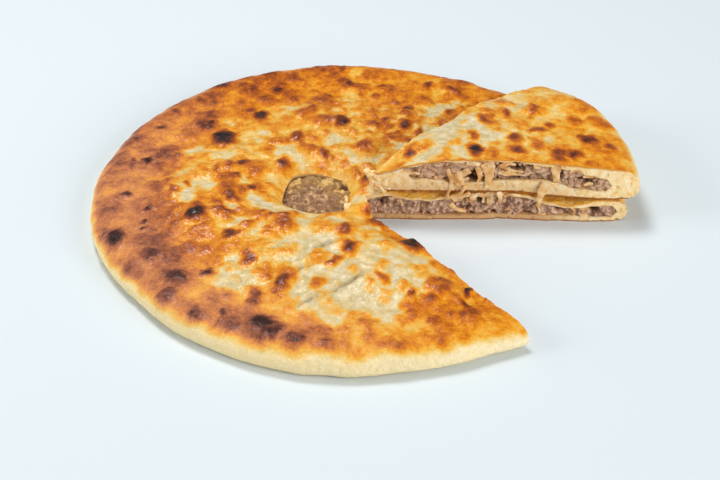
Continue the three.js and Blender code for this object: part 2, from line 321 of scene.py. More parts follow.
# Onion that hangs over the cuts: pixels along it, width at its two ends, distance out of the face, roll
SLICE_STRANDS = (
    (((487, 163), (490, 174), (486, 188)), 9.0, 4.0, 0.4, 0.25),
    (((448, 169), (452, 180), (449, 192), (446, 198)), 3.0, 2.2, 1.4, -0.5),
    (((447, 199), (456, 196), (463, 192), (464, 186)), 2.6, 2.0, 1.8, 0.5),
    (((452, 180), (461, 174), (470, 170)), 8.0, 5.0, 0.0, 0.2),
    (((460, 187), (470, 184), (480, 188)), 6.0, 5.0, -0.2, 0.2),
    (((546, 182), (540, 196), (538, 208)), 6.5, 3.0, 1.5, -0.35),
    (((557, 164), (556, 172), (557, 182)), 7.0, 5.0, 0.3, -0.3),
    (((498, 166), (511, 170), (523, 172)), 2.4, 1.8, -1.0, 0.2),
    (((498, 172), (512, 174), (526, 176)), 4.0, 2.4, -0.8, -0.4),
    (((404, 175), (414, 172), (423, 174)), 3.0, 2.2, -0.4, 0.4),
    (((569, 173), (577, 170), (584, 172)), 2.6, 2.0, -0.2, -0.3),
    (((434, 176), (440, 180), (441, 187)), 3.0, 2.0, 0.1, 0.4),
    (((478, 167), (481, 177), (477, 187)), 5.5, 4.0, -0.2, 0.3),
    (((466, 164), (475, 163), (484, 165)), 4.0, 3.0, -0.4, 0.2),
    (((456, 185), (463, 180), (469, 178)), 5.0, 4.0, 0.2, -0.2),
    (((500, 166), (508, 163), (516, 165)), 3.0, 2.4, -0.5, 0.3),
)
PIE_STRANDS = (
    (((452, 200), (460, 197), (470, 193)), 4.5, 3.0, 0.8, 0.3),
    (((485, 193), (491, 197), (489, 204)), 7.0, 4.5, 0.6, -0.3),
    (((498, 191), (501, 197), (499, 203)), 4.0, 2.6, 0.6, 0.2),
    (((583, 204), (584, 211), (583, 219)), 6.8, 6.0, 0.0, 0.2),
    (((571, 205), (575, 210), (573, 216)), 2.6, 1.8, 0.0, -0.4),
    (((450, 204), (456, 209), (466, 211)), 3.6, 2.6, 0.4, 0.5),
    (((395, 196), (400, 199), (402, 204)), 2.6, 1.8, 0.2, -0.4),
    (((536, 204), (540, 209), (539, 214)), 2.4, 1.8, 0.6, 0.3),
    (((470, 199), (478, 194), (485, 196)), 4.0, 3.0, 0.4, 0.3),
    (((504, 197), (512, 194), (520, 196)), 3.4, 2.4, 0.4, -0.2),
)

# Pale dough torn open at the slice's tip and in the vent's mouth: pixel x, pixel y, half width
TIP_CRUMBS = (
    (367, 171, 2.0), (371, 174, 3.0), (375, 178, 3.8), (378, 183, 4.4), (382, 188, 3.4), (376, 187, 2.6),
    (387, 187, 2.8), (384, 177, 3.2), (386, 182, 3.2), (392, 174, 2.2), (393, 185, 2.4), (395, 179, 2.2),
    (400, 185, 1.8),
)
VENT_CRUMBS = (
    (346, 195, 1.4), (346, 198, 1.6), (346, 201, 1.8), (346, 204, 1.7), (347, 207, 1.5), (350, 204, 1.8),
)

# Relief of the crust
WANDER_SALTS = (50, 60)
BLISTER_WANDER = (8.0, 3.2)
BLISTER_LONG, BLISTER_LONG_SPREAD = 1.08, 0.2
BLISTER_ACROSS = 0.72
BLISTER_RISE = 0.3
BLISTER_FOOT = 1.25
BLISTER_DARK = (0.15, 2.0)
PATCH_WANDER = (15.0, 9.0)
PATCH_BROKEN = (0.35, 9.0, 3, 70)
PATCH_EDGE = (0.3, 1.4)
THIN_BELOW = 0.19
LINE_WANDER = (9.0, 2.0)
CREASE_DEEP, CREASE_WIDE = 1.5, 1.7
CREASE_SHADE_WIDE = 1.3
RIDGE_HIGH, RIDGE_WIDE, RIDGE_FROM_CREASE = 0.8, 2.5, 4.5
FOLD_HIGH, FOLD_WIDE = 1.7, 2.4
BUBBLE_WANDER = (9.0, 3.0)
BUBBLES_MEAN = 0.75
ROUGH = (0.7, 14.0, 4, 10)
RIM_CALM = 0.5
RIM_CALM_OUT = (0.72, 0.9)

# Bubbles of three sizes: height, span, and what the seed is raised by
BUBBLES = ((1.9, 17.0, 1), (1.25, 9.0, 4), (0.6, 4.6, 7))

# Levels of baking, from 0, pale, to 1, charred, each with the layer of noise that mottles it
PIE_MIDDLE_BAKE, PIE_MIDDLE_MOTTLE = 0.42, (0.18, 24.0, 4, 40)
PIE_RIM_BAKE, PIE_RIM_MOTTLE = 0.50, (0.08, 14.0, 4, 30)
SLICE_MIDDLE_BAKE, SLICE_MIDDLE_MOTTLE = 0.30, (0.13, 20.0, 4, 40)
SLICE_RIM_BAKE, SLICE_RIM_MOTTLE = 0.38, (0.10, 16.0, 4, 30)
PIE_RING_OUT, PIE_RING_RAGGED = (0.58, 0.80), (0.07, 30.0, 4, 20)
SLICE_RING_OUT, SLICE_RING_RAGGED = (0.70, 0.92), (0.05, 26.0, 4, 20)

# What changes them: the brown side, the back edge, the slice's cover, partly painted light, the vent's lip
# and the slice's edges, the rear one with a painted highlight
BROWN_SIDE = 205.0
BROWN_SIDE_BAKE = 0.09
BROWN_SIDE_WIDER = 0.03
DRY_COSINE = (0.0, 0.95)
BACK_EDGE_BAKE = 0.09
BACK_EDGE_OUT = (0.86, 0.97)
BACK_EDGE_SINE = (0.2, 0.8)
# Along the far cut, under and beside the slice, the crust is paler: soaked crust and painted light
COVERED_BAKE, COVERED_SHARE, COVERED_WIDE = 0.23, 0.85, 14.0
COVERED_ALONG = (15.0, 30.0)
VENT_LIP_BAKE = 0.32
VENT_LIP_FROM_LIP = (2.0, 12.0)
SLICE_FRONT_BAKE, SLICE_FRONT_WIDE = 0.49, 5.0
# The slice's rear edge is paler: paler crust with a painted highlight
SLICE_REAR_BAKE, SLICE_REAR_WIDE = 0.26, 2.2
SLICE_EDGE_SHARE = 0.8

# The pale side of the rim, painted paler still at the near tip as painted light, and the share of its height
# at which the baked crust ends
SIDE_BAKE = 0.05
SIDE_TIP_TURN = 0.5
SIDE_EDGE, SIDE_EDGE_SWING, SIDE_EDGE_HIGHEST_AT = 0.74, 0.16, 285.0
SIDE_EDGE_TIP, SIDE_EDGE_TIP_TURN = 0.12, 0.35
SLICE_SIDE_EDGE = 0.86
SIDE_EDGE_BELOW, SIDE_EDGE_ABOVE = 0.24, 0.14
SIDE_DRIP = (0.12, 11.0, 4, 48)

# Pale flecks, browned bubbles and spots
INSIDE_OUT = (0.6, 0.8)
FLECK_BAKE, FLECK_SHARE = 0.15, 0.8
FLECK_NOISE, FLECKS = (1.0, 12.0, 4, 46), (0.18, 0.55)
BUBBLE_BAKE, BUBBLE_BAKE_MEAN = (0.12, 0.17), 0.7
SPOT_NOISE, SPOT_BAKE = (1.0, 7.5, 4, 45), (0.08, 0.14)
CALMED = 0.3
PALEST = 0.03
SOLE_BAKE, SOLE_HEIGHT = 0.5, 0.05
# How far the dough is soaked, which also sets its painted shade near the sole
SOAKED_OUT = (0.68, 0.84)
PIE_SOAKED, SLICE_SOAKED = 1.0, 0.55

# The crumb of cut dough, with its pores
PORE_SPAN, PORE_DEEP = 3.2, 0.9
PORE_EDGE, PORE_CHOSEN = (0.12, 0.34), (0.1, 0.5)
PORE_HEIGHTS = (9.0, 12.0)
CRUMB_WAVE = (0.5, 9.0, 3, 5)

# The mince of cut filling: clumps, grains and fine grains
MINCE_WANDER, MINCE_WANDER_SALTS = (7.0, 2.4), (9, 13)
CLUMP_HIGH, CLUMP_SPAN, CLUMP_MEAN, CLUMP_FLAT = 2.8, 13.0, 0.3, 1.4
CLUMP_EDGE = (0.34, 0.72)
GRAIN_HIGH, GRAIN_SPAN, GRAIN_MEAN, GRAIN_UNEVEN, GRAIN_SALT = 2.0, 3.3, 0.3, 0.6, 3
FINE_HIGH, FINE_SPAN, FINE_MEAN, FINE_SALT = 1.0, 1.7, 0.25, 6

# How far the cut filling is set back, all along and in its hollows and over the base
MINCE_SET_BACK = 0.4
BACK_SPAN, BACK_NOISE, BACK_SALT = 19.0, (-0.5, 0.7), 30
PIE_MINCE_DEPTH, SLICE_MINCE_DEPTH = 0.9, 0.8
PIE_MINCE_ROUGH, SLICE_MINCE_ROUGH = 1.0, 1.35
HOLLOW_RAGGED, HOLLOW_EDGE = 0.25, (0.4, 1.3)
FOOT_SET_BACK, FOOT_HIGH = 0.9, 4.0

# Relief of the filling in the vent. Pairs named AT are shares of the way from the vent's middle to its edge.
VENT_MEAT_TUCKED = 2.0
VENT_MEAT_FOOT = 4.6
VENT_DOME = 2.4
VENT_WANDER, VENT_WANDER_SALTS = (9.0, 3.0), (1, 5)
VENT_LUMPS = (3.0, 13.0, 2, 9)
VENT_CRUMB_HIGH, VENT_CRUMB_SPAN, VENT_CRUMB_FLAT, VENT_CRUMB_SALT = 1.7, 6.5, 1.1, 13
VENT_KNOB_HIGH, VENT_KNOB_SPAN, VENT_KNOB_SALT = 1.3, 3.2, 17
VENT_CRUMB_MEAN = 1.1
VENT_FINE = (0.9, 2.4, 3, 21)
VENT_EDGE_CALM = 0.5
VENT_SHADE_SKEW, VENT_SHADE = 0.5, (-0.1, 0.7)
VENT_TUCK, VENT_TUCK_AT = (0.3, 2.6), (0.74, 0.94)
VENT_EDGE_TUCK, VENT_EDGE_AT = 3.0, (0.9, 1.0)
VENT_CLEFT = (344, 184)
CLEFT_DEEP, CLEFT_WIDE, CLEFT_LONG = 3.0, 3.0, 6.0

# How the meat is painted, in the vent and at the cuts, with painted shade in its pits, its gaps and under
# the vent's lip
VENT_PAINT_MARGIN = 5.0
VENT_GRAIN_PAINTED = 0.7
VENT_DEPTH_PAINTED = 2.0
FILM_PATCHY, FILM_SKEW, FILM_AWAY = (14.0, 13.0, 4, 30), 0.2, (-3.0, 5.0)
PIT_GRAIN = (-0.2, 0.5)
PIE_FATTY, SLICE_FATTY = 0.0, 0.6

# Leaves of onion: those that hang, from the lists of pixels, and those that are strewn over a face
ONION_THICK, ONION_RAGGED = 1.1, 0.3
LEAF_STEPS = (-1.0, -0.5, 0.0, 0.5, 1.0)
LEAF_BULGE = 1.1
LEAF_CURL_MEAN = 0.4
LEAF_TAPER = 0.5
CORNER_ROUNDS, CORNER_CUT = 3, 0.25
HANGING_ROLL, HANGING_ROLL_WAVES = 0.35, 4.0
HANGING_SWAY, HANGING_SWAY_WAVES = 0.4, 6.0
HANGING_UNEVEN, HANGING_UNEVEN_SPAN = 0.25, 2.5
HANGING_ENDS, HANGING_CURL = 0.75, (0.06, 0.16)
STREWN_STEP, STREWN_LEAST_STEPS = 1.6, 6
STREWN_BEND, STREWN_BEND_GAIN = (-0.35, 0.35), 3
STREWN_ROLL, STREWN_TURN = (-0.6, 0.6), 0.9
STREWN_SWAY, STREWN_SWAY_WAVES = 0.5, 5
STREWN_ENDS, STREWN_CURL = 0.35, (0.05, 0.2)
STREWN_MARGIN = 0.5
STREWN_LONG, STREWN_WIDE, STREWN_FROM_FACE = (4.0, 8.0), (1.8, 3.8), (-2.0, -0.6)
STREWN_ROOM, STREWN_LEAST_SLOPE = 2.2, 0.25
PIE_STREWN, PIE_STREWN_ALONG = 7, (12.0, 148.0)
SLICE_STREWN, SLICE_STREWN_ALONG = 8, (14.0, 145.0)

# Torn crumbs, and the ragged skin of all that is run together
TORN_RAGGED = 0.9
LUMP_RINGS, LUMP_SIDES = 8, 13
LUMP_FLAT, LUMP_SUNK = 0.7, 0.8
LUMP_KNOBS, LUMP_KNOB_WAVES, KNOB_SLANT = 0.55, 2.0, (0.7, -0.6)
SKIN_SPAN, SKIN_SLANT = 3.0, (0.6, 0.8)

# Rings through the noise, by radius and by how far they are moved, for what runs round the pie or the vent
RAGGED_RING, VENT_TORN_RING, RIM_DOUGH_RING = (6.0, 20.0), (3.5, 9.0), (2.0, 4.0)

# Seeds, so that no two fields of noise run alike. A salt is added to the seed of what it belongs to.
RANDOM_SEED = 5
LUMPS_SEED, RAGGED_SEED, VENT_TORN_SEED, RIM_DOUGH_SEED = 3, 61, 77, 7
PIE_CRUST_SEED, SLICE_CRUST_SEED = 100, 300
PIE_CRUMB_SEED, SLICE_CRUMB_SEED, KNIFE_SEED = 210, 410, 401
PIE_MINCE_SEED, SLICE_MINCE_SEED, VENT_SEED = 310, 510, 710
HANGING_SEED, KNOB_SEED, SKIN_SEED = 903, 905, 907

# Large odd factors that scramble the lattice of the noise, and how its octaves are moved apart and summed
SCRAMBLE_X, SCRAMBLE_Y, SCRAMBLE_SEED, SCRAMBLE_AGAIN = 374761393, 668265263, 974634721, 1274126177
OCTAVE_SHIFT = (17.3, -9.1)
OCTAVES_SUM = 1.5

# How far scattered points lie from the middles of their squares, and how wide the domes on them are
SCATTER = 0.42
DOME_WIDE, DOME_WIDE_SPREAD = 0.46, 0.2

# Colours, as 8-bit screen values. Those of baked and mixed matter are ramps, with the place of each stop.
GLOSSY_CRUST = (
    (0.00, (252, 234, 190)), (0.14, (240, 208, 132)), (0.28, (236, 180, 66)), (0.40, (230, 146, 20)),
    (0.52, (204, 112, 14)), (0.63, (168, 84, 20)), (0.74, (124, 56, 22)), (0.84, (74, 36, 22)),
    (0.93, (38, 21, 17)), (1.00, (18, 12, 11)),
)
# The matt ramp's browns are lightened towards rose-grey: a painted sheen of soft light on the dry left rim.
MATT_CRUST = (
    (0.00, (252, 234, 190)), (0.14, (242, 208, 132)), (0.28, (240, 184, 86)), (0.40, (234, 162, 80)),
    (0.50, (216, 142, 86)), (0.60, (188, 118, 78)), (0.72, (142, 86, 66)), (0.83, (84, 48, 40)),
    (0.93, (42, 24, 21)), (1.00, (22, 14, 13)),
)
THIN_CRUST = ((0.3, (180, 162, 116)), (0.5, (212, 196, 152)), (0.7, (232, 222, 194)))
CRUMB_CREAM = ((0.28, (238, 186, 116)), (0.48, (254, 222, 160)), (0.72, (255, 242, 212)))
CUT_MINCE = (
    (0.15, (164, 116, 88)), (0.38, (222, 174, 142)), (0.62, (244, 204, 174)), (0.85, (255, 230, 196)),
)
VENT_MINCE = (
    (0.15, (70, 44, 26)), (0.38, (156, 114, 76)), (0.62, (222, 180, 132)), (0.85, (255, 238, 196)),
)
VENT_FILM = ((0.2, (140, 92, 34)), (0.5, (230, 182, 98)), (0.8, (255, 230, 156)))
COOKED_ONION = ((0.28, (196, 128, 58)), (0.5, (234, 184, 118)), (0.74, (252, 228, 186)))
# Painted shade in the crust's creases, laid over the grey of thin dough
CREASE_COLOUR = (140, 122, 84)
# Painted shade in the pores of the cut crumb
PORE_COLOUR = (206, 150, 84)
TOASTED_COLOUR = (220, 146, 40)
# Darker towards the sole: soaked dough, and painted shade near the floor, more in the pie than in the slice
SOAKED_COLOUR = (206, 152, 98)
SOLE_COLOUR = (158, 88, 26)
# Painted shade in the pits between grains of meat
PIT_COLOUR = (112, 68, 42)
# The slice's meat is painted lighter than the pie's
FAT_COLOUR = (250, 208, 160)
# Painted shade in the gaps between clumps of meat and under the vent's lip
GAP_COLOUR = (88, 50, 26)

# The stage, in metres. A lamp has a name, a place, a size, a power in watts and a colour.
FLOOR_HALF = 6.0
FLOOR_COLOUR = (219, 230, 237)
SKY_COLOUR = (242, 245, 250)
SKY_STRENGTH = 0.25
LAMPS = (
    ("key", (-0.35, 0.45, 1.6), 0.55, 16.5, (1.0, 0.985, 0.96)),
    ("right fill", (1.5, -1.3, 0.9), 1.2, 31.5, (1.0, 0.96, 0.91)),
    ("left fill", (-1.8, -0.2, 0.75), 1.0, 16.5, (1.0, 0.97, 0.92)),
)


# Plain numerics

def smooth(value, low, high):
    """A share that rises from 0 at low to 1 at high, level at both."""
    t = np.clip((value - low) / (high - low), 0.0, 1.0)
    return t * t * (3.0 - 2.0 * t)


def falling(value, low, high):
    """A share that falls from 1 at low to 0 at high."""
    return 1 - smooth(value, low, high)


def bell(distance, wide):
    """A share that falls from 1 at no distance to about a third at the width."""
    return np.exp(-((distance / wide) ** 2))


def mix(a, b, t):
    return a + (b - a) * t


def lattice(i, j, seed):
    """A number from -1 to 1 for each point of a lattice, the same on every run."""
    i = np.asarray(i).astype(np.int64).astype(np.uint32)
    j = np.asarray(j).astype(np.int64).astype(np.uint32)
    salt = np.uint32(seed * SCRAMBLE_SEED % 2**32)
    bits = (i * np.uint32(SCRAMBLE_X)) ^ (j * np.uint32(SCRAMBLE_Y)) ^ salt
    bits = (bits ^ (bits >> np.uint32(13))) * np.uint32(SCRAMBLE_AGAIN)
    return (bits ^ (bits >> np.uint32(16))) / 2.0**31 - 1.0


def eased(t):
    return t**3 * (t * (t * 6 - 15) + 10)


def noise(x, y, seed):
    """Smooth noise from -1 to 1, one wave for each unit of length."""
    i, j = np.floor(x), np.floor(y)
    u, v = eased(x - i), eased(y - j)
    low = mix(lattice(i, j, seed), lattice(i + 1, j, seed), u)
    high = mix(lattice(i, j + 1, seed), lattice(i + 1, j + 1, seed), u)
    return mix(low, high, v)


def fractal(x, y, span, octaves, seed):
    """Noise of some span, with finer and lower noise laid over it."""
    total = 0.0
    for octave in range(octaves):
        scale = 2.0**octave / span
        at_x = x * scale + OCTAVE_SHIFT[0] * octave
        at_y = y * scale + OCTAVE_SHIFT[1] * octave
        total = total + noise(at_x, at_y, seed + octave) / 2.0**octave
    return total / OCTAVES_SUM


def noise_layer(x, y, layer, seed=0):
    """Noise of the height, span and octaves of a layer."""
    height, span, octaves, more = layer
    return height * fractal(x, y, span, octaves, seed + more)


def fractal_in_space(x, y, z, slant, span, seed):
    """Noise on a plan that is slanted by height, so that upright faces have it too."""
    return fractal(x + slant[0] * z, y + slant[1] * z, span, 4, seed)


def wandered(x, y, span, reach, seed, salts):
    """Points moved about a little, so that what is drawn round has a hand-made edge."""
    across, away = (reach * fractal(x, y, span, 3, seed + salt) for salt in salts)
    return x + across, y + away


def scattered(x, y, seed):
    """The distance of each point scattered in the nine unit squares round a place, and its own number."""
    i, j = np.floor(x), np.floor(y)
    for a in (-1, 0, 1):
        for b in (-1, 0, 1):
            point_x = i + a + 0.5 + SCATTER * lattice(i + a, j + b, seed)
            point_y = j + b + 0.5 + SCATTER * lattice(i + a, j + b, seed + 1)
            yield np.hypot(x - point_x, y - point_y), lattice(i + a, j + b, seed + 2)


def cells(x, y, span, seed):
    """Distance to the nearest of many scattered points, in spans, and the number of that point."""
    nearest = np.full(np.shape(x), FAR_OFF)
    value = np.zeros(np.shape(x))
    for distance, number in scattered(x / span, y / span, seed):
        closer = distance < nearest
        nearest = np.where(closer, distance, nearest)
        value = np.where(closer, number, value)
    return nearest, value


def domes(x, y, span, seed):
    """Rounded bubbles about a span apart, from 0 between them to 1 on the tallest."""
    tallest = np.zeros(np.shape(x))
    for distance, number in scattered(x / span, y / span, seed):
        away = distance / (DOME_WIDE + DOME_WIDE_SPREAD * number)
        high = np.maximum(0.5 + 0.5 * number, 0.0)
        tallest = np.maximum(tallest, high * np.maximum(1 - away**2, 0.0))
    return tallest


# The form of the pie

def heading(degrees):
    turn = math.radians(degrees)
    return math.cos(turn), math.sin(turn)


def turned(x, y, degrees):
    c, s = heading(degrees)
    return x * c - y * s, x * s + y * c


def along_ray(start, degrees, distance):
    c, s = heading(degrees)
    return start[0] + distance * c, start[1] + distance * s


def plan_distance(x, y, point):
    return np.hypot(x - point[0], y - point[1])


def line_distance(x, y, start, degrees):
    """Distance to the left of a line in plan."""
    c, s = heading(degrees)
    return (y - start[1]) * c - (x - start[0]) * s


def ray_distance(x, y, start, degrees):
    """Distance from a line in plan that starts at a point."""
    c, s = heading(degrees)
    before = np.minimum((x - start[0]) * c + (y - start[1]) * s, 0.0)
    return np.hypot(before, line_distance(x, y, start, degrees))


def waved(radius, waves, angle):
    """A radius with waves round it."""
    for turns, height, crest in waves:
        radius = radius + height * np.cos(turns * (angle - math.radians(crest)))
    return radius


def ring_place(angle, ring):
    """Where an angle lies on a ring through the noise."""
    radius, moved = ring
    return radius * np.cos(angle) + moved, radius * np.sin(angle) + moved


def outline_radius(angle):
    return waved(PIE_RADIUS, OUTLINE_WAVES, angle)


def vent_radius(angle):
    """Radius of the vent's torn mouth."""
    torn = VENT_TORN * fractal(*ring_place(angle, VENT_TORN_RING), 1.0, 3, VENT_TORN_SEED)
    radius = VENT_RADIUS + torn + VENT_BACK_REACH * smooth(np.sin(angle), *VENT_BACK_SINE)
    return waved(radius, VENT_WAVES, angle)


def share_out(x, y):
    return np.hypot(x, y) / outline_radius(np.arctan2(y, x))


def crown_height(x, y):
    return mix(CROWN_THICKNESS, RIM_THICKNESS, smooth(share_out(x, y), *CROWN_OUT))


def from_vent(x, y):
    return plan_distance(x, y, VENT)


def round_vent(x, y):
    return np.arctan2(y - VENT[1], x - VENT[0])


def from_lip(x, y):
    """Distance outward from the edge of the vent's mouth."""
    return from_vent(x, y) - vent_radius(round_vent(x, y))


def plain_height(x, y):
    """Height of the crust with its lumps and the hollow round the vent, as in the solids."""
    sunk = VENT_DIP * falling(from_vent(x, y), VENT_DIP_STARTS, VENT_DIP_ENDS)
    lumps = LUMP_HEIGHT * falling(share_out(x, y), *LUMPS_OUT)
    return crown_height(x, y) - sunk + lumps * noise(x / LUMP_SPAN, y / LUMP_SPAN, LUMPS_SEED)


def back_lift(x, y):
    """How far the rim stands up at the back."""
    return BACK_LIFT * smooth(share_out(x, y), *BACK_LIFT_OUT) * smooth(y, *BACK_LIFT_AWAY)


def near_distance(x, y):
    return ray_distance(x, y, NEAR_CUT_BEND, NEAR_CUT_ANGLE)


def far_distance(x, y):
    return ray_distance(x, y, APEX, FAR_CUT_ANGLE)


def cut_distance(x, y):
    """Distance from the nearer of the pie's two cuts."""
    return np.minimum(near_distance(x, y), far_distance(x, y))


def far_lips(along):
    """How deep the lip of the far cut droops, and how far it reaches out, by length along the cut."""
    droop, reach = FAR_CUT_PRESSED, 0.0
    for middle, half_long, deep, out in FAR_CUT_LIPS:
        share = np.exp(-(((along - middle) / half_long) ** 4))
        droop = droop + deep * share
        reach = reach + out * share
    return droop, reach


def pie_pressed(x, y):
    """How far the crust is pressed down at the pie's cuts, most at the far lips and at the near bend."""
    behind = line_distance(x, y, APEX, FAR_CUT_ANGLE)
    in_lip = (behind < 0) & (behind > -LIP_LONGEST) & (x > APEX[0])
    droop, _ = far_lips(x - APEX[0])
    far = droop * bell(np.where(in_lip, 0.0, far_distance(x, y)), FAR_PRESSED_WIDE)
    far = far - np.where(in_lip, LIP_SLOPE * behind, 0.0)
    deep = mix(NEAR_TIP_PRESSED, NEAR_CUT_PRESSED, falling(share_out(x, y), *NEAR_TIP_OUT))
    deep = mix(BEND_PRESSED, deep, smooth(plan_distance(x, y, NEAR_CUT_BEND), 0.0, BEND_ENDS))
    return np.maximum(far, deep * bell(near_distance(x, y), NEAR_PRESSED_WIDE))


def under_slice(x, y):
    """Whether the lifted slice lies on the pie there."""
    angle = np.degrees(np.arctan2(y, x))
    return (angle > FAR_CUT_ANGLE - SLICE_COVER) & (angle < FAR_CUT_ANGLE + SLICE_ANGLE + SLICE_COVER)


def slice_front_distance(x, y):
    return np.abs(line_distance(x, y, SLICE_APEX, NEAR_CUT_ANGLE))


def slice_rear_distance(x, y):
    return np.abs(line_distance(x, y, SLICE_APEX, NEAR_CUT_ANGLE + SLICE_ANGLE))


def slice_side_distance(x, y):
    return np.minimum(slice_front_distance(x, y), slice_rear_distance(x, y))


def share_back(x, y):
    """How far round the slice a point lies, from 0 at its front side to 1 at its rear side."""
    return (np.degrees(np.arctan2(y, x)) - NEAR_CUT_ANGLE) / SLICE_ANGLE


def slice_fullness(x, y):
    """What the slice's height has over the plain crust: fuller in front and towards its rim."""
    out = share_out(x, y)
    lift = mix(*SLICE_LIFT, smooth(out, *SLICE_LIFT_OUT))
    lift = lift * (1 - SLICE_LIFT_LOST * smooth(out, *SLICE_LIFT_LOST_OUT))
    lift = lift * falling(slice_front_distance(x, y), *SLICE_LIFT_FROM_FRONT)
    return SLICE_SWELL * smooth(out, *SLICE_SWELL_OUT) + lift


def corner_share(x, y):
    """Share of its height that the slice keeps towards its rear corner."""
    thinned = SLICE_CORNER_THINNED * smooth(share_out(x, y), *SLICE_CORNER_OUT)
    return 1 - thinned * smooth(share_back(x, y), *SLICE_CORNER_BACK)


def tip_squash(x, y):
    """Share of its height that the lifted slice keeps towards its tip."""
    return mix(SLICE_TIP_SQUASH, 1.0, smooth(plan_distance(x, y, SLICE_APEX), 0.0, SLICE_TIP_ENDS))


def laid_stretch(x, y):
    """How far the front of the slice is drawn out from its tip where it lies on the pie."""
    stretch = mix(SLICE_STRETCH, 0.0, smooth(share_back(x, y), *SLICE_STRETCH_BACK))
    return 1 + stretch * smooth(share_out(x, y), *SLICE_STRETCH_OUT)


def lay_on_pie(points):
    """Points of the slice where it lies on the pie, thinned to its tip and sagging over the crown."""
    old_x, old_y = points[:, 0], points[:, 1]
    stretch = laid_stretch(old_x, old_y)
    x, y = turned(old_x * stretch, old_y * stretch, SLICE_TURN)
    x, y = x + SLICE_LAID[0], y + SLICE_LAID[1]
    z = points[:, 2] * tip_squash(old_x, old_y) + crown_height(x, y) + SLICE_GAP
    return np.stack([x, y, z], -1)


def before_laying(x, y):
    """Plan position that a place on the laid slice had before."""
    old_x, old_y = turned(x - SLICE_LAID[0], y - SLICE_LAID[1], -SLICE_TURN)
    stretch = laid_stretch(old_x, old_y)
    return old_x / stretch, old_y / stretch


# From the photo to the crust

def ray(pixel_x, pixel_y):
    """Start and direction of the line of sight through a pixel."""
    back = np.array([0.0, -math.cos(CAMERA_ELEVATION), math.sin(CAMERA_ELEVATION)])
    up = np.array([0.0, math.sin(CAMERA_ELEVATION), math.cos(CAMERA_ELEVATION)])
    right = np.array([1.0, 0.0, 0.0])
    start = np.array(CAMERA_TARGET) + CAMERA_DISTANCE * back
    across = (pixel_x - PHOTO_SIZE[0] / 2) / PHOTO_FOCAL
    rise = (PHOTO_SIZE[1] / 2 - pixel_y) / PHOTO_FOCAL
    return start, -back + across * right + rise * up


def seen_in_plan(pixel_x, pixel_y, height, height_at):
    """Plan position that a pixel shows on a surface, closing in on it from a first height."""
    start, way = ray(pixel_x, pixel_y)
    for _ in range(SIGHT_ROUNDS):
        x, y, _ = start + way * (height - start[2]) / way[2]
        height = height_at(x, y)
    return float(x), float(y)


def seen_pie_height(x, y):
    return plain_height(x, y) + back_lift(x, y) - pie_pressed(x, y)


def seen_slice_height(x, y):
    old_x, old_y = before_laying(x, y)
    thick = min(plain_height(old_x, old_y) + slice_fullness(old_x, old_y), SLICE_HIGHEST)
    thick = thick * corner_share(old_x, old_y) * tip_squash(old_x, old_y)
    return thick + crown_height(x, y) + SLICE_GAP


def on_pie(pixel_x, pixel_y):
    """Plan position of the point of the pie's crust that a pixel shows."""
    return seen_in_plan(pixel_x, pixel_y, CROWN_THICKNESS, seen_pie_height)


def on_slice(pixel_x, pixel_y):
    """The same for the lifted slice, at the place that its crust had before it was lifted."""
    x, y = before_laying(*seen_in_plan(pixel_x, pixel_y, 2 * CROWN_THICKNESS, seen_slice_height))
    return float(x), float(y)


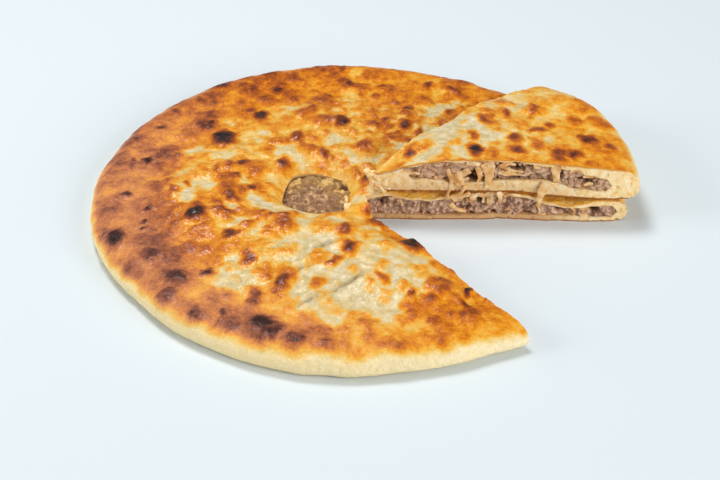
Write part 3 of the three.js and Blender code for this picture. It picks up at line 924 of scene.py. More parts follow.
class Crust:
    """What marks the crust of the pie or of the slice: its blisters, patches, creases and folds, in plan."""

    def __init__(self, place, blisters, patches, creases, folds, seed, facing=0.0):
        self.blisters = [(*place(px, py), size, dark) for px, py, size, dark in blisters]
        self.patches = [(*place(px, py), size, bake, strength) for px, py, size, bake, strength in patches]
        self.creases = [[place(px, py) for px, py in line] for line in creases]
        self.folds = [[place(px, py) for px, py in line] for line in folds]
        self.seed = seed
        self.facing = facing

    def wander(self, x, y, span, reach):
        return wandered(x, y, span, reach, self.seed, WANDER_SALTS)

    def layer(self, x, y, layer):
        return noise_layer(x, y, layer, self.seed)

    def blister_field(self, x, y):
        """Height of the blisters, and how dark they bake the crust."""
        wx, wy = self.wander(x, y, *BLISTER_WANDER)
        height = np.zeros(np.shape(x))
        bake = np.zeros(np.shape(x))
        for number, (cx, cy, size, dark) in enumerate(self.blisters):
            turn = math.pi * float(lattice(number, 0, self.seed))
            long = BLISTER_LONG + BLISTER_LONG_SPREAD * float(lattice(number, 1, self.seed))
            across, back = turned(wx - cx, wy - cy, self.facing)
            back = BLISTER_ACROSS * back
            u = across * math.cos(turn) + back * math.sin(turn)
            v = back * math.cos(turn) - across * math.sin(turn)
            away = np.hypot(u / long, v * long) / size
            swollen = np.maximum(1 - (away / BLISTER_FOOT) ** 2, 0.0)
            height = np.maximum(height, BLISTER_RISE * size * swollen)
            bake = np.maximum(bake, dark * falling(away, *BLISTER_DARK))
        return height, bake

    def patch_field(self, x, y, bake):
        """The bake with the patches laid over it, and how thin the crust is."""
        wx, wy = self.wander(x, y, *PATCH_WANDER)
        broken = self.layer(x, y, PATCH_BROKEN)
        thin = np.zeros(np.shape(x))
        for cx, cy, size, level, strength in self.patches:
            cover = strength * falling(plan_distance(wx, wy, (cx, cy)) / size + broken, *PATCH_EDGE)
            bake = mix(bake, level, cover)
            thin = mix(thin, 1.0 if level < THIN_BELOW else 0.0, cover)
        return bake, thin

    def from_lines(self, x, y, lines):
        """Distance from the nearest of some lines."""
        wx, wy = self.wander(x, y, *LINE_WANDER)
        nearest = np.full(np.shape(x), FAR_OFF)
        for line in lines:
            for (ax, ay), (bx, by) in zip(line, line[1:]):
                length = (bx - ax) ** 2 + (by - ay) ** 2
                t = np.clip(((wx - ax) * (bx - ax) + (wy - ay) * (by - ay)) / length, 0, 1)
                nearest = np.minimum(nearest, np.hypot(wx - ax - t * (bx - ax), wy - ay - t * (by - ay)))
        return nearest

    def crease_field(self, x, y):
        return self.from_lines(x, y, self.creases)

    def bubbles(self, x, y):
        """Height of the crust's bubbles, large, middling and small."""
        wx, wy = self.wander(x, y, *BUBBLE_WANDER)
        total = 0.0
        for height, span, salt in BUBBLES:
            total = total + height * domes(wx, wy, span, self.seed + salt)
        return total

    def relief(self, x, y):
        """Height of the small relief over the plain crust."""
        blister, _ = self.blister_field(x, y)
        calm = 1 - RIM_CALM * smooth(share_out(x, y), *RIM_CALM_OUT)
        rough = self.layer(x, y, ROUGH)
        crease = self.crease_field(x, y)
        ridge = RIDGE_HIGH * bell(crease - RIDGE_FROM_CREASE, RIDGE_WIDE)
        fold = FOLD_HIGH * bell(self.from_lines(x, y, self.folds), FOLD_WIDE)
        drawn = ridge - CREASE_DEEP * bell(crease, CREASE_WIDE) + fold
        return blister + calm * (self.bubbles(x, y) - BUBBLES_MEAN + rough) + drawn


PIE_CRUST = Crust(on_pie, PIE_BLISTERS, PIE_PATCHES, PIE_CREASES, PIE_FOLDS, PIE_CRUST_SEED)
SLICE_CRUST = Crust(on_slice, SLICE_BLISTERS, SLICE_PATCHES, (), (), SLICE_CRUST_SEED, SLICE_TURN)


def pie_height(x, y):
    """Height of the pie's crust with all its relief, rolled into the vent and pressed down at the cuts."""
    turn = round_vent(x, y)
    at_back = smooth(np.sin(turn) - VENT_BACK_SKEW * np.cos(turn), *VENT_BACK_TURN)
    lip = VENT_ROLL * mix(1.0, VENT_ROLL_AT_BACK, at_back) * falling(from_lip(x, y), *VENT_ROLL_FROM_LIP)
    relief = PIE_CRUST.relief(x, y) * mix(LIP_RELIEF, 1.0, smooth(from_lip(x, y), *LIP_RELIEF_FROM_LIP))
    height = plain_height(x, y) + relief + back_lift(x, y) - lip
    under = np.minimum(height, crown_height(x, y) + SLICE_UNDER_RELIEF)
    return np.where(under_slice(x, y), under, height) - pie_pressed(x, y)


def slice_height(x, y):
    """Height of the slice's crust with all its relief, before it is laid on the pie."""
    pressed = SLICE_PRESSED * bell(slice_side_distance(x, y), SLICE_PRESSED_WIDE)
    pressed = pressed * falling(share_out(x, y), *SLICE_PRESSED_OUT)
    height = plain_height(x, y) + slice_fullness(x, y) + SLICE_CRUST.relief(x, y) - pressed
    over = np.maximum(height - SLICE_HIGHEST + SLICE_TOP_SOFT, 0.0)
    softened = SLICE_HIGHEST - SLICE_TOP_SOFT * np.exp(-over / SLICE_TOP_SOFT)
    return np.where(over > 0, softened, height) * corner_share(x, y)


# Closed meshes as arrays: points, and lists of faces

def disc_grid(count):
    """Points of a unit disc on a square grid bent round, with its faces and the order of its edge points."""
    steps = np.linspace(-1, 1, count + 1)
    a, b = np.meshgrid(steps, steps, indexing="ij")
    wide = np.abs(a) > np.abs(b)
    radius = np.where(wide, a, b)
    safe = np.where(radius == 0, 1.0, radius)
    turn = np.where(wide, np.pi / 4 * b / safe, np.pi / 2 - np.pi / 4 * a / safe)
    points = np.stack([radius * np.cos(turn), radius * np.sin(turn)], -1).reshape(-1, 2)
    index = np.arange((count + 1) ** 2).reshape(count + 1, count + 1)
    faces = np.stack([index[:-1, :-1], index[1:, :-1], index[1:, 1:], index[:-1, 1:]], -1).reshape(-1, 4)
    edge = np.concatenate([index[:-1, 0], index[-1, :-1], index[:0:-1, -1], index[0, :0:-1]])
    return points, faces, edge


def ring_faces(first, second):
    """Quads between two rings of the same number of points."""
    return np.stack([first, second, np.roll(second, -1), np.roll(first, -1)], -1)


def rim_rings():
    """Shares out and up from the top of the rim's roll, round its widest place, to the base."""
    rings = []
    for turn in np.linspace(np.pi / 2, 0, RIM_ROLL_STEPS + 1)[1:]:
        up = mix(RIM_WIDEST_AT, 1.0, math.sin(turn))
        rings.append((1 - RIM_ROLL / PIE_RADIUS * (1 - math.cos(turn)), up))
    for turn in np.linspace(0, np.pi / 2, RIM_TUCK_STEPS + 1)[1:]:
        up = RIM_WIDEST_AT * (1 - math.sin(turn))
        rings.append((1 - RIM_TUCK / PIE_RADIUS * (1 - math.cos(turn)), up))
    return rings


def ragged_radius(angle):
    """The outline with the small waves of hand-shaped dough."""
    c, s = np.cos(angle), np.sin(angle)
    ragged = RAGGED_RIM * (fractal(*ring_place(angle, RAGGED_RING), 1.0, 3, RAGGED_SEED) - RAGGED_MEAN)
    drawn_in = FRONT_DRAWN_IN * smooth(-s, *FRONT_SINE) * falling(c, *FRONT_RIGHT_COSINE)
    return outline_radius(angle) + ragged + BACK_REACH * smooth(s, *BACK_REACH_SINE) - drawn_in


def whole_pie(count, height):
    """The uncut pie as a closed mesh, its crust on a fine grid and its base on one fan."""
    disc, faces, edge = disc_grid(count)
    inner = 1 - RIM_ROLL / PIE_RADIUS
    plan = [disc * inner]
    ups = [np.ones(len(disc))]
    last = edge
    all_faces = faces.tolist()
    rim = disc[edge]
    for out, up in rim_rings():
        ring = len(disc) + len(edge) * (len(plan) - 1) + np.arange(len(edge))
        plan.append(rim * out)
        ups.append(np.full(len(edge), up))
        all_faces += ring_faces(last, ring).tolist()
        last = ring
    plan.append(np.zeros((1, 2)))
    ups.append(np.zeros(1))
    plan, ups = np.concatenate(plan), np.concatenate(ups)
    middle = np.full(len(edge), len(plan) - 1)
    all_faces += np.stack([last, middle, np.roll(last, -1)], -1).tolist()
    plan = plan * ragged_radius(np.arctan2(plan[:, 1], plan[:, 0]))[:, None]
    x, y = plan.T
    return np.stack([x, y, ups * height(x, y)], -1), all_faces


def filling_body(count, floor, top, reach):
    """The room for the filling as a closed mesh, between its floor and its top, blunt at its edge."""
    disc, faces, edge = disc_grid(count)
    angle = np.arctan2(disc[:, 1], disc[:, 0])
    plan = disc * reach(angle)[:, None]
    shelf = plan * (1 - BLUNT_END / PIE_RADIUS)
    upper = np.stack([*shelf.T, top(*shelf.T)], -1)
    lower = np.stack([*shelf.T, floor(*shelf.T)], -1)
    nose_plan = plan[edge]
    nose = np.stack([*nose_plan.T, mix(lower[edge, 2], upper[edge, 2], BLUNT_AT)], -1)
    points = np.concatenate([upper, lower, nose])
    below = len(upper)
    ring = 2 * below + np.arange(len(edge))
    all_faces = faces.tolist() + (faces[:, ::-1] + below).tolist()
    all_faces += ring_faces(edge, ring).tolist() + ring_faces(ring, edge + below).tolist()
    return points, all_faces


def walk(corners, step):
    """Points along a line through corners, with the way to its left at each and the length so far."""
    corners = np.array(corners, float)
    legs = np.diff(corners, axis=0)
    points, lefts = [], []
    for corner, leg in zip(corners, legs):
        length = np.hypot(*leg)
        count = max(1, round(length / step))
        t = np.arange(count)[:, None] / count
        points.append(corner + t * leg)
        lefts.append(np.repeat([[-leg[1] / length, leg[0] / length]], count, 0))
    points.append(corners[-1:])
    lefts.append(lefts[-1][-1:])
    points, lefts = np.concatenate(points), np.concatenate(lefts)
    along = np.concatenate([[0.0], np.cumsum(np.hypot(*np.diff(points, axis=0).T))])
    return points, lefts, along


def knife_prism(corners, step, relief, solid_on_left):
    """Upright prism beside a line of cuts, closed by a chord. Its walls stand out to the left by relief."""
    points, lefts, along = walk(corners, step)
    heights = np.linspace(CUT_LOW, CUT_HIGH, round((CUT_HIGH - CUT_LOW) / step) + 1)
    u, z = np.meshgrid(along, heights, indexing="ij")
    ends = smooth(u, 0, KNIFE_ENDS) * falling(u, along[-1] - KNIFE_ENDS, along[-1])
    out = (relief(u, z) + KNIFE_WANDER * noise(u / KNIFE_SPAN, 0 * u, KNIFE_SEED)) * ends
    x = points[:, :1] + lefts[:, :1] * out
    y = points[:, 1:] + lefts[:, 1:] * out
    columns, rows = u.shape
    index = np.arange(columns * rows).reshape(columns, rows)
    wall = np.stack([index[:-1, :-1], index[:-1, 1:], index[1:, 1:], index[1:, :-1]], -1).reshape(-1, 4)
    faces = wall.tolist()
    faces.append(index[:, 0].tolist())
    faces.append(index[::-1, -1].tolist())
    faces.append(np.concatenate([index[0, ::-1], index[-1, :]]).tolist())
    if solid_on_left:
        faces = [face[::-1] for face in faces]
    return np.stack([x, y, z], -1).reshape(-1, 3), faces


def gap_corners(set_back):
    """The line of the pie's two cuts, with the gap on its left, moved back into the pie."""
    apex = along_ray(APEX, WAY_BACK_FROM_APEX, set_back)
    bend = along_ray(NEAR_CUT_BEND, NEAR_CUT_ANGLE - 90, set_back)
    near_end = along_ray(bend, NEAR_CUT_ANGLE, CUT_REACH)
    far_end = along_ray(along_ray(APEX, FAR_CUT_ANGLE + 90, set_back), FAR_CUT_ANGLE, CUT_REACH)
    return [far_end, apex, bend, near_end]


def slice_corners(set_back):
    """The line of the slice's two sides, with the slice on its right."""
    half = SLICE_ANGLE / 2
    tip = along_ray(SLICE_APEX, NEAR_CUT_ANGLE + half, set_back / math.sin(math.radians(half)))
    near_end = along_ray(tip, NEAR_CUT_ANGLE, CUT_REACH)
    far_end = along_ray(tip, NEAR_CUT_ANGLE + SLICE_ANGLE, CUT_REACH)
    return [near_end, tip, far_end]


# How the crust is baked

def dryness(x, y):
    """1 on the left of the rim, which is baked matt and even, and whose colour carries a painted sheen."""
    side = np.cos(np.arctan2(y, x) - math.radians(BROWN_SIDE))
    return smooth(share_out(x, y), *RIM_OUT) * smooth(side, *DRY_COSINE)


def at_near_tip(angle, wide):
    """1 at the pie's near tip, falling off round the rim."""
    return bell(angle - math.radians(NEAR_CUT_ANGLE), wide)


def side_edge(angle):
    """Height share on the rim's side down to which the crust is browned: high in front, low at the back."""
    swing = SIDE_EDGE_SWING * np.cos(angle - math.radians(SIDE_EDGE_HIGHEST_AT))
    return SIDE_EDGE + swing - SIDE_EDGE_TIP * at_near_tip(angle, SIDE_EDGE_TIP_TURN)


def finished_bake(crust, x, y, up, base, edge, calm=0.0, flecked=1.0, side=SIDE_BAKE):
    """Adds patches, browned bubbles and dark blisters to a base, and leaves the rim's side pale."""
    bake, thin = crust.patch_field(x, y, base)
    inside = falling(share_out(x, y), *INSIDE_OUT)
    flecks = flecked * inside * smooth(crust.layer(x, y, FLECK_NOISE), *FLECKS)
    bake = mix(bake, FLECK_BAKE, FLECK_SHARE * flecks)
    thin = np.maximum(thin, FLECK_SHARE * flecks)
    bubbles = mix(*BUBBLE_BAKE, thin) * (crust.bubbles(x, y) - BUBBLE_BAKE_MEAN)
    spots = mix(*SPOT_BAKE, inside) * crust.layer(x, y, SPOT_NOISE)
    bake = bake + (1 - CALMED * calm) * (bubbles + spots)
    _, dark = crust.blister_field(x, y)
    bake = np.maximum(np.maximum(bake, PALEST), dark)
    ragged_up = up + crust.layer(x, y, SIDE_DRIP)
    shown = smooth(ragged_up, edge - SIDE_EDGE_BELOW, edge + SIDE_EDGE_ABOVE)
    return np.clip(mix(side, bake, shown), 0.0, 1.0), thin * shown


def pie_bake(x, y, up):
    """How dark the pie is baked and how thin its crust is, by place and by share of the height there."""
    crust = PIE_CRUST
    angle, out = np.arctan2(y, x), share_out(x, y)
    brown = np.cos(angle - math.radians(BROWN_SIDE))
    starts, ends = (share - BROWN_SIDE_WIDER * brown for share in PIE_RING_OUT)
    ring = smooth(out + crust.layer(x, y, PIE_RING_RAGGED), starts, ends)
    rim = PIE_RIM_BAKE + BROWN_SIDE_BAKE * brown + crust.layer(x, y, PIE_RIM_MOTTLE)
    rim = rim + BACK_EDGE_BAKE * smooth(out, *BACK_EDGE_OUT) * smooth(np.sin(angle), *BACK_EDGE_SINE)
    middle = PIE_MIDDLE_BAKE + crust.layer(x, y, PIE_MIDDLE_MOTTLE)
    off_vent = smooth(from_lip(x, y), *VENT_LIP_FROM_LIP)
    base = mix(VENT_LIP_BAKE, mix(middle, rim, ring), off_vent)
    calm = np.maximum(dryness(x, y), 1 - off_vent)
    # The rim's side is painted paler towards the near tip: painted light from the right
    side = SIDE_BAKE * (1 - at_near_tip(angle, SIDE_TIP_TURN))
    bake, thin = finished_bake(crust, x, y, up, base, side_edge(angle), calm, off_vent, side)
    # Paler along the far cut under the slice: soaked crust, and painted light on a strip that lies in the
    # slice's shade
    covered = bell(far_distance(x, y), COVERED_WIDE) * smooth(x, *COVERED_ALONG)
    return mix(bake, COVERED_BAKE, COVERED_SHARE * covered), thin * (1 - covered)


def slice_bake(x, y, up):
    """The same for the slice."""
    crust = SLICE_CRUST
    ring = smooth(share_out(x, y) + crust.layer(x, y, SLICE_RING_RAGGED), *SLICE_RING_OUT)
    middle = SLICE_MIDDLE_BAKE + crust.layer(x, y, SLICE_MIDDLE_MOTTLE)
    rim = SLICE_RIM_BAKE + crust.layer(x, y, SLICE_RIM_MOTTLE)
    front = bell(slice_front_distance(x, y), SLICE_FRONT_WIDE)
    rear = bell(slice_rear_distance(x, y), SLICE_REAR_WIDE)
    base = mix(mix(middle, rim, ring), SLICE_FRONT_BAKE, SLICE_EDGE_SHARE * front)
    # The rear edge is painted paler, partly as a painted highlight
    base = mix(base, SLICE_REAR_BAKE, SLICE_EDGE_SHARE * rear)
    return finished_bake(crust, x, y, up, base, SLICE_SIDE_EDGE)


# Reliefs of what a knife has opened

def crumb_relief(seed):
    """Cut dough: gently wavy, with small pores."""
    def relief(u, z):
        pores, value = cells(u, z, PORE_SPAN, seed)
        pits = PORE_DEEP * falling(pores, *PORE_EDGE) * smooth(value, *PORE_CHOSEN)
        pits = pits * falling(z, *PORE_HEIGHTS)
        return noise_layer(u, z, CRUMB_WAVE, seed) - pits
    return relief


def mince(u, z, seed):
    """Relief of cut filling: clumps of minced meat with gaps between them, and the grains on the clumps."""
    wu, wz = wandered(u, z, *MINCE_WANDER, seed, MINCE_WANDER_SALTS)
    clumps, _ = cells(wu, CLUMP_FLAT * wz, CLUMP_SPAN, seed)
    grains, value = cells(wu, wz, GRAIN_SPAN, seed + GRAIN_SALT)
    fine, lift = cells(wu, wz, FINE_SPAN, seed + FINE_SALT)
    clump = CLUMP_HIGH * (CLUMP_MEAN - smooth(clumps, *CLUMP_EDGE))
    grain = GRAIN_HIGH * (GRAIN_MEAN - grains) * (1 + GRAIN_UNEVEN * value)
    return clump, grain + FINE_HIGH * (FINE_MEAN - fine) * (1 + lift)


def meat_face(seed, floor, depth, rough, hollows):
    """Relief of a cut through the filling: mince, set back in places, in its hollows and over the base."""
    def relief(u, z):
        clump, grain = mince(u, z, seed)
        grain = rough * grain
        back = depth * smooth(noise(u / BACK_SPAN, 0 * u, seed + BACK_SALT), *BACK_NOISE)
        for middle, level, wide, high, deep in hollows:
            away = np.hypot((u - middle) / wide, (z - level) / high)
            back = np.maximum(back, deep * falling(away + HOLLOW_RAGGED * grain, *HOLLOW_EDGE))
        return clump + grain - back - FOOT_SET_BACK * falling(z, floor, floor + FOOT_HIGH)
    return relief


# The cut faces that the photo shows

class Face:
    """An upright cut face: points on it by length along it, height, and distance out of it."""

    def __init__(self, start, degrees):
        self.start = np.array([*start, 0.0])
        self.along = np.array([*heading(degrees), 0.0])
        self.out = np.array([*heading(degrees - 90), 0.0])
        self.up = np.array([0.0, 0.0, 1.0])

    def at(self, along, height, out):
        return self.start + self.along * along + self.up * height + self.out * out

    def seen_at(self, pixel_x, pixel_y, out=0.0):
        """The point that a pixel of the photo shows on this face, or so far in front of it."""
        start, way = ray(pixel_x, pixel_y)
        reach = np.dot(self.start + self.out * out - start, self.out) / np.dot(way, self.out)
        return start + way * reach

    def length_to(self, x, y):
        return (x - self.start[0]) * self.along[0] + (y - self.start[1]) * self.along[1]


PIE_FACE = Face(APEX, FAR_CUT_ANGLE)
SLICE_FACE = Face(SLICE_APEX, NEAR_CUT_ANGLE)
LAID_FACE = Face(np.add(turned(*SLICE_APEX, SLICE_TURN), SLICE_LAID), FAR_CUT_ANGLE)


def hollow_marks(face, hollows, level_of):
    """Hollows seen on a face: length along the knife's line, height, half width, half height and depth."""
    marks = []
    for pixel_x, pixel_y, wide, high, deep in hollows:
        x, y, z = face.seen_at(pixel_x, pixel_y)
        along = face.length_to(x, y)
        marks.append((CUT_REACH - along, level_of(x, y, z, along), wide, high, deep))
    return marks


def level_on_pie(x, y, z, along):
    return z


def level_in_slice(x, y, z, along):
    """Height in the slice, before it was laid, of a point seen on its laid front."""
    old_x, old_y, _ = SLICE_FACE.at(along, 0.0, 0.0)
    return (z - crown_height(x, y) - SLICE_GAP) / tip_squash(old_x, old_y)


# The room for the filling

def filling_reach(inset, cut_angle, further):
    """Radius of the filling, which ends further out, or in, at one of the cuts."""
    def reach(angle):
        wander = RIM_DOUGH_WANDER * noise(*ring_place(angle, RIM_DOUGH_RING), RIM_DOUGH_SEED)
        at_cut = further * bell(angle - math.radians(cut_angle), CLOSED_TURN)
        return outline_radius(angle) - RIM_DOUGH + wander + at_cut - inset
    return reach


def crust_dough(x, y, from_cut, thinnest, at_rim):
    """Thickness of the crust over the filling: thinnest where it is cut, thicker towards the rim."""
    at_cut = mix(thinnest, at_rim, smooth(share_out(x, y), *RIM_CRUST_OUT))
    return mix(at_cut, CLOSED_CRUST_DOUGH, smooth(from_cut, *CLOSED_FROM_CUT))


def lowest_near(height, x, y, reach):
    """The lowest height at a place and a little way round it."""
    ways = ((0, 0), (reach, 0), (-reach, 0), (0, reach), (0, -reach))
    return np.minimum.reduce([height(x + a, y + b) for a, b in ways])


def pie_filling_top(x, y):
    height = plain_height(x, y)
    under = np.minimum(height, crown_height(x, y))
    height = np.where(under_slice(x, y), under, height) - pie_pressed(x, y)
    _, lip = far_lips(x - APEX[0])
    thinnest = PIE_CRUST_DOUGH - LIP_THINNING * lip
    height = height - crust_dough(x, y, cut_distance(x, y), thinnest, RIM_CRUST_DOUGH)
    height = height - VENT_OPENS_BELOW * falling(from_vent(x, y), *VENT_OPENS)
    return np.minimum(height, lowest_near(pie_height, x, y, PIE_LOOK_ROUND) - LEAST_CRUST_DOUGH)


def pie_filling_floor(x, y):
    return PIE_BASE_DOUGH + noise_layer(x, y, PIE_BASE_WAVES)


def slice_filling_top(x, y):
    """Underside of the slice's crust, uneven where it is cut."""
    height = plain_height(x, y) + SLICE_FILLED * slice_fullness(x, y)
    height = np.minimum(height, SLICE_HIGHEST - LEAST_CRUST_DOUGH)
    from_side = slice_side_distance(x, y)
    uneven = noise_layer(x, y, SLICE_UNEVEN_NOISE)
    uneven = SLICE_UNEVEN * np.maximum(uneven, SLICE_UNEVEN_LEAST) * bell(from_side, SLICE_UNEVEN_WIDE)
    crust = crust_dough(x, y, from_side, SLICE_CRUST_DOUGH, SLICE_RIM_CRUST_DOUGH)
    height = height * corner_share(x, y) - crust - uneven
    return np.minimum(height, lowest_near(slice_height, x, y, SLICE_LOOK_ROUND) - LEAST_CRUST_DOUGH)


def slice_filling_floor(x, y):
    """Top of the slice's base, swelling in front and closing up to the crust at the tip."""
    along = SLICE_FACE.length_to(x, y)
    from_front = slice_front_distance(x, y)
    height = SLICE_BASE_DOUGH + noise_layer(x, y, SLICE_BASE_WAVES)
    for middle, half_long, high in SLICE_BASE_SWELLS:
        fading = ((along - middle) / half_long) ** 4 + (from_front / SLICE_BASE_SWELL_WIDE) ** 2
        height = height + high * np.exp(-fading)
    height = height + CROWN_THICKNESS * falling(plan_distance(x, y, SLICE_APEX), *SLICE_TIP_CLOSED)
    return np.minimum(height, slice_filling_top(x, y) - THINNEST_FILLING)


def inset_body(count, floor, top, inset, cut_angle, further):
    """The room between a floor and a top, made smaller all round by an inset."""
    return filling_body(
        count,
        lambda x, y: floor(x, y) + inset,
        lambda x, y: top(x, y) - inset,
        filling_reach(inset, cut_angle, further),
    )


def pie_filling(inset):
    heights = pie_filling_floor, pie_filling_top
    return inset_body(PIE_FILLING_GRID, *heights, inset, FAR_CUT_ANGLE, FAR_CUT_FILLED)


def slice_filling(inset):
    heights = slice_filling_floor, slice_filling_top
    return inset_body(SLICE_FILLING_GRID, *heights, inset, NEAR_CUT_ANGLE, -SLICE_FRONT_CLOSED)


def top_along(face, top):
    """Height of the filling's top by length along a face."""
    def height(along):
        x, y, _ = face.at(along, 0, 0)
        return float(top(np.array(x), np.array(y)))
    return height


# The vent and what fills it

def vent_prism():
    """Closed prism through the crust, over the vent's mouth."""
    angle = np.linspace(0, 2 * np.pi, VENT_SIDES, endpoint=False)
    radius = vent_radius(angle)
    x, y = VENT[0] + radius * np.cos(angle), VENT[1] + radius * np.sin(angle)
    lower, upper = (np.stack([x, y, np.full(VENT_SIDES, level)], -1) for level in VENT_CUT)
    ring = np.arange(VENT_SIDES)
    faces = ring_faces(ring + VENT_SIDES, ring).tolist()
    faces += [ring[::-1].tolist(), (ring + VENT_SIDES).tolist()]
    return np.concatenate([lower, upper]), faces


def vent_mince(x, y):
    """Relief of the filling in the vent: large soft lumps, and crumbs with fine grain on them."""
    wx, wy = wandered(x, y, *VENT_WANDER, VENT_SEED, VENT_WANDER_SALTS)
    lumps = noise_layer(wx, wy, VENT_LUMPS, VENT_SEED)
    crumbs = VENT_CRUMB_HIGH * domes(wx, VENT_CRUMB_FLAT * wy, VENT_CRUMB_SPAN, VENT_SEED + VENT_CRUMB_SALT)
    knobs = VENT_KNOB_HIGH * domes(wx, wy, VENT_KNOB_SPAN, VENT_SEED + VENT_KNOB_SALT)
    fine = noise_layer(x, y, VENT_FINE, VENT_SEED)
    return lumps, crumbs + knobs - VENT_CRUMB_MEAN + fine


def vent_meat():
    """The filling in the vent's mouth, tucked under the crust all round, as a closed mesh."""
    disc, faces, edge = disc_grid(VENT_GRID)
    angle = np.arctan2(disc[:, 1], disc[:, 0])
    out = np.hypot(*disc.T)
    x, y = (np.array(VENT) + disc * (vent_radius(angle) + VENT_MEAT_TUCKED)[:, None]).T
    shaded = smooth(disc[:, 1] - VENT_SHADE_SKEW * disc[:, 0], *VENT_SHADE)
    tuck = mix(*VENT_TUCK, shaded) * smooth(out, *VENT_TUCK_AT) + VENT_EDGE_TUCK * smooth(out, *VENT_EDGE_AT)
    cleft_x, cleft_y = on_pie(*VENT_CLEFT)
    cleft = CLEFT_DEEP * np.exp(-(((x - cleft_x) / CLEFT_LONG) ** 2) - ((y - cleft_y) / CLEFT_WIDE) ** 2)
    relief = sum(vent_mince(x, y)) * (1 - VENT_EDGE_CALM * out**4)
    z = plain_height(x, y) - VENT_RECESS + VENT_DOME * (1 - out**2) - tuck + relief - cleft
    upper = np.stack([x, y, z], -1)
    foot = upper[edge].copy()
    foot[:, 2] = VENT_MEAT_FOOT
    ring = len(upper) + np.arange(len(edge))
    all_faces = faces.tolist() + ring_faces(edge, ring).tolist() + [ring[::-1].tolist()]
    return np.concatenate([upper, foot]), all_faces


# Meshes from arrays

def put(name, data):
    """A new object in the scene."""
    obj = bpy.data.objects.new(name, data)
    bpy.context.scene.collection.objects.link(obj)
    return obj


def make_mesh(name, points, faces, material):
    mesh = bpy.data.meshes.new(name)
    mesh.from_pydata(np.asarray(points, float).tolist(), [], faces)
    mesh.materials.append(material)
    mesh.update()
    return mesh


def modified_mesh(obj):
    """A mesh of its own from an object with its modifiers applied."""
    return bpy.data.meshes.new_from_object(obj.evaluated_get(bpy.context.evaluated_depsgraph_get()))


def mesh_points(mesh):
    flat = np.empty(len(mesh.vertices) * 3)
    mesh.vertices.foreach_get("co", flat)
    return flat.reshape(-1, 3)


def set_points(mesh, points):
    mesh.vertices.foreach_set("co", np.asarray(points, np.float32).ravel())
    mesh.update()


def carve(body, *cuts):
    """A mesh with each (operation, tool mesh) applied to it in turn."""
    carved = put(body.name, body)
    used = [carved]
    for operation, tool in cuts:
        used.append(put(tool.name, tool))
        modifier = carved.modifiers.new(operation, "BOOLEAN")
        modifier.operation = operation
        modifier.solver = "MANIFOLD"
        modifier.material_mode = "TRANSFER"
        modifier.object = used[-1]
    result = modified_mesh(carved)
    for obj in used:
        mesh = obj.data
        bpy.data.objects.remove(obj)
        bpy.data.meshes.remove(mesh)
    return result


def drop_specks(mesh):
    """Deletes every shell of a mesh that has too few points to be seen."""
    editable = bmesh.new()
    editable.from_mesh(mesh)
    waiting = set(editable.verts)
    specks = []
    while waiting:
        shell = [waiting.pop()]
        for vert in shell:
            beside = {edge.other_vert(vert) for edge in vert.link_edges} & waiting
            waiting -= beside
            shell.extend(beside)
        if len(shell) < SPECK_POINTS:
            specks.extend(shell)
    bmesh.ops.delete(editable, geom=specks, context="VERTS")
    editable.to_mesh(mesh)
    editable.free()


def run_together(mesh, voxel, ragged):
    """Lumps or leaves run together into one mass, with a ragged skin."""
    loose = put("loose", mesh)
    remesh = loose.modifiers.new("run together", "REMESH")
    remesh.mode = "VOXEL"
    remesh.voxel_size = voxel
    result = modified_mesh(loose)
    bpy.data.objects.remove(loose)
    drop_specks(result)
    points = mesh_points(result)
    normals = np.empty(len(points) * 3)
    result.vertices.foreach_get("normal", normals)
    out = ragged * fractal_in_space(*points.T, SKIN_SLANT, SKIN_SPAN, SKIN_SEED)
    set_points(result, points + normals.reshape(-1, 3) * out[:, None])
    return result


def paint(mesh, **fields):
    """Writes a number for each point of the mesh under each name."""
    for name, values in fields.items():
        values = np.broadcast_to(values, len(mesh.vertices)).astype(np.float32)
        mesh.attributes.new(name, "FLOAT", "POINT").data.foreach_set("value", values)


def smooth_but_at_cuts(mesh):
    """Smooth shading, with an edge where the outside meets a cut."""
    mesh.shade_smooth()
    faces = len(mesh.polygons)
    material = np.empty(faces, np.int32)
    mesh.polygons.foreach_get("material_index", material)
    sizes = np.empty(faces, np.int32)
    mesh.polygons.foreach_get("loop_total", sizes)
    edge_of_loop = np.empty(len(mesh.loops), np.int32)
    mesh.loops.foreach_get("edge_index", edge_of_loop)
    per_loop = np.repeat(material, sizes)
    lowest = np.full(len(mesh.edges), len(mesh.materials))
    highest = np.full(len(mesh.edges), -1)
    np.minimum.at(lowest, edge_of_loop, per_loop)
    np.maximum.at(highest, edge_of_loop, per_loop)
    sharp = mesh.attributes.new("sharp_edge", "BOOLEAN", "EDGE")
    sharp.data.foreach_set("value", lowest != highest)


def piece(name, mesh, replaced=()):
    """Puts a finished mesh into the scene, from millimetres about the middle to metres in the frame."""
    points = mesh_points(mesh) + np.array([*PIE_MIDDLE, 0.0])
    set_points(mesh, points * MM)
    mesh.name = name
    obj = put(name, mesh)
    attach(obj, "root")
    if replaced:
        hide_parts(*replaced)


# Onion and crumbs, as points and faces

def leaf(path, wides, curl):
    """A leaf of onion along a path of (place, way across, way out), bent to a gutter."""
    upper = [(a, ONION_THICK / 2 * (LEAF_BULGE - a * a)) for a in LEAF_STEPS]
    section = upper + [(a, -rise) for a, rise in upper[::-1]]
    points = []
    for (place, across, out), wide in zip(path, wides):
        for a, rise in section:
            bent = rise + curl * wide * (a * a - LEAF_CURL_MEAN)
            points.append(place + across * a * wide / 2 + out * bent)
    faces = []
    sides, count = len(section), len(path)
    for number in range(count - 1):
        for side in range(sides):
            after = (side + 1) % sides
            here, there = number * sides, (number + 1) * sides
            faces.append([here + side, here + after, there + after, there + side])
    faces.append(list(range(sides))[::-1])
    faces.append([(count - 1) * sides + side for side in range(sides)])
    return points, faces


def end_taper(count, blunt):
    """Shares of its width along a leaf: full in the middle and a blunt share at the ends."""
    t = (np.arange(count) + 0.5) / count
    return blunt + (1 - blunt) * np.sin(np.pi * t) ** LEAF_TAPER


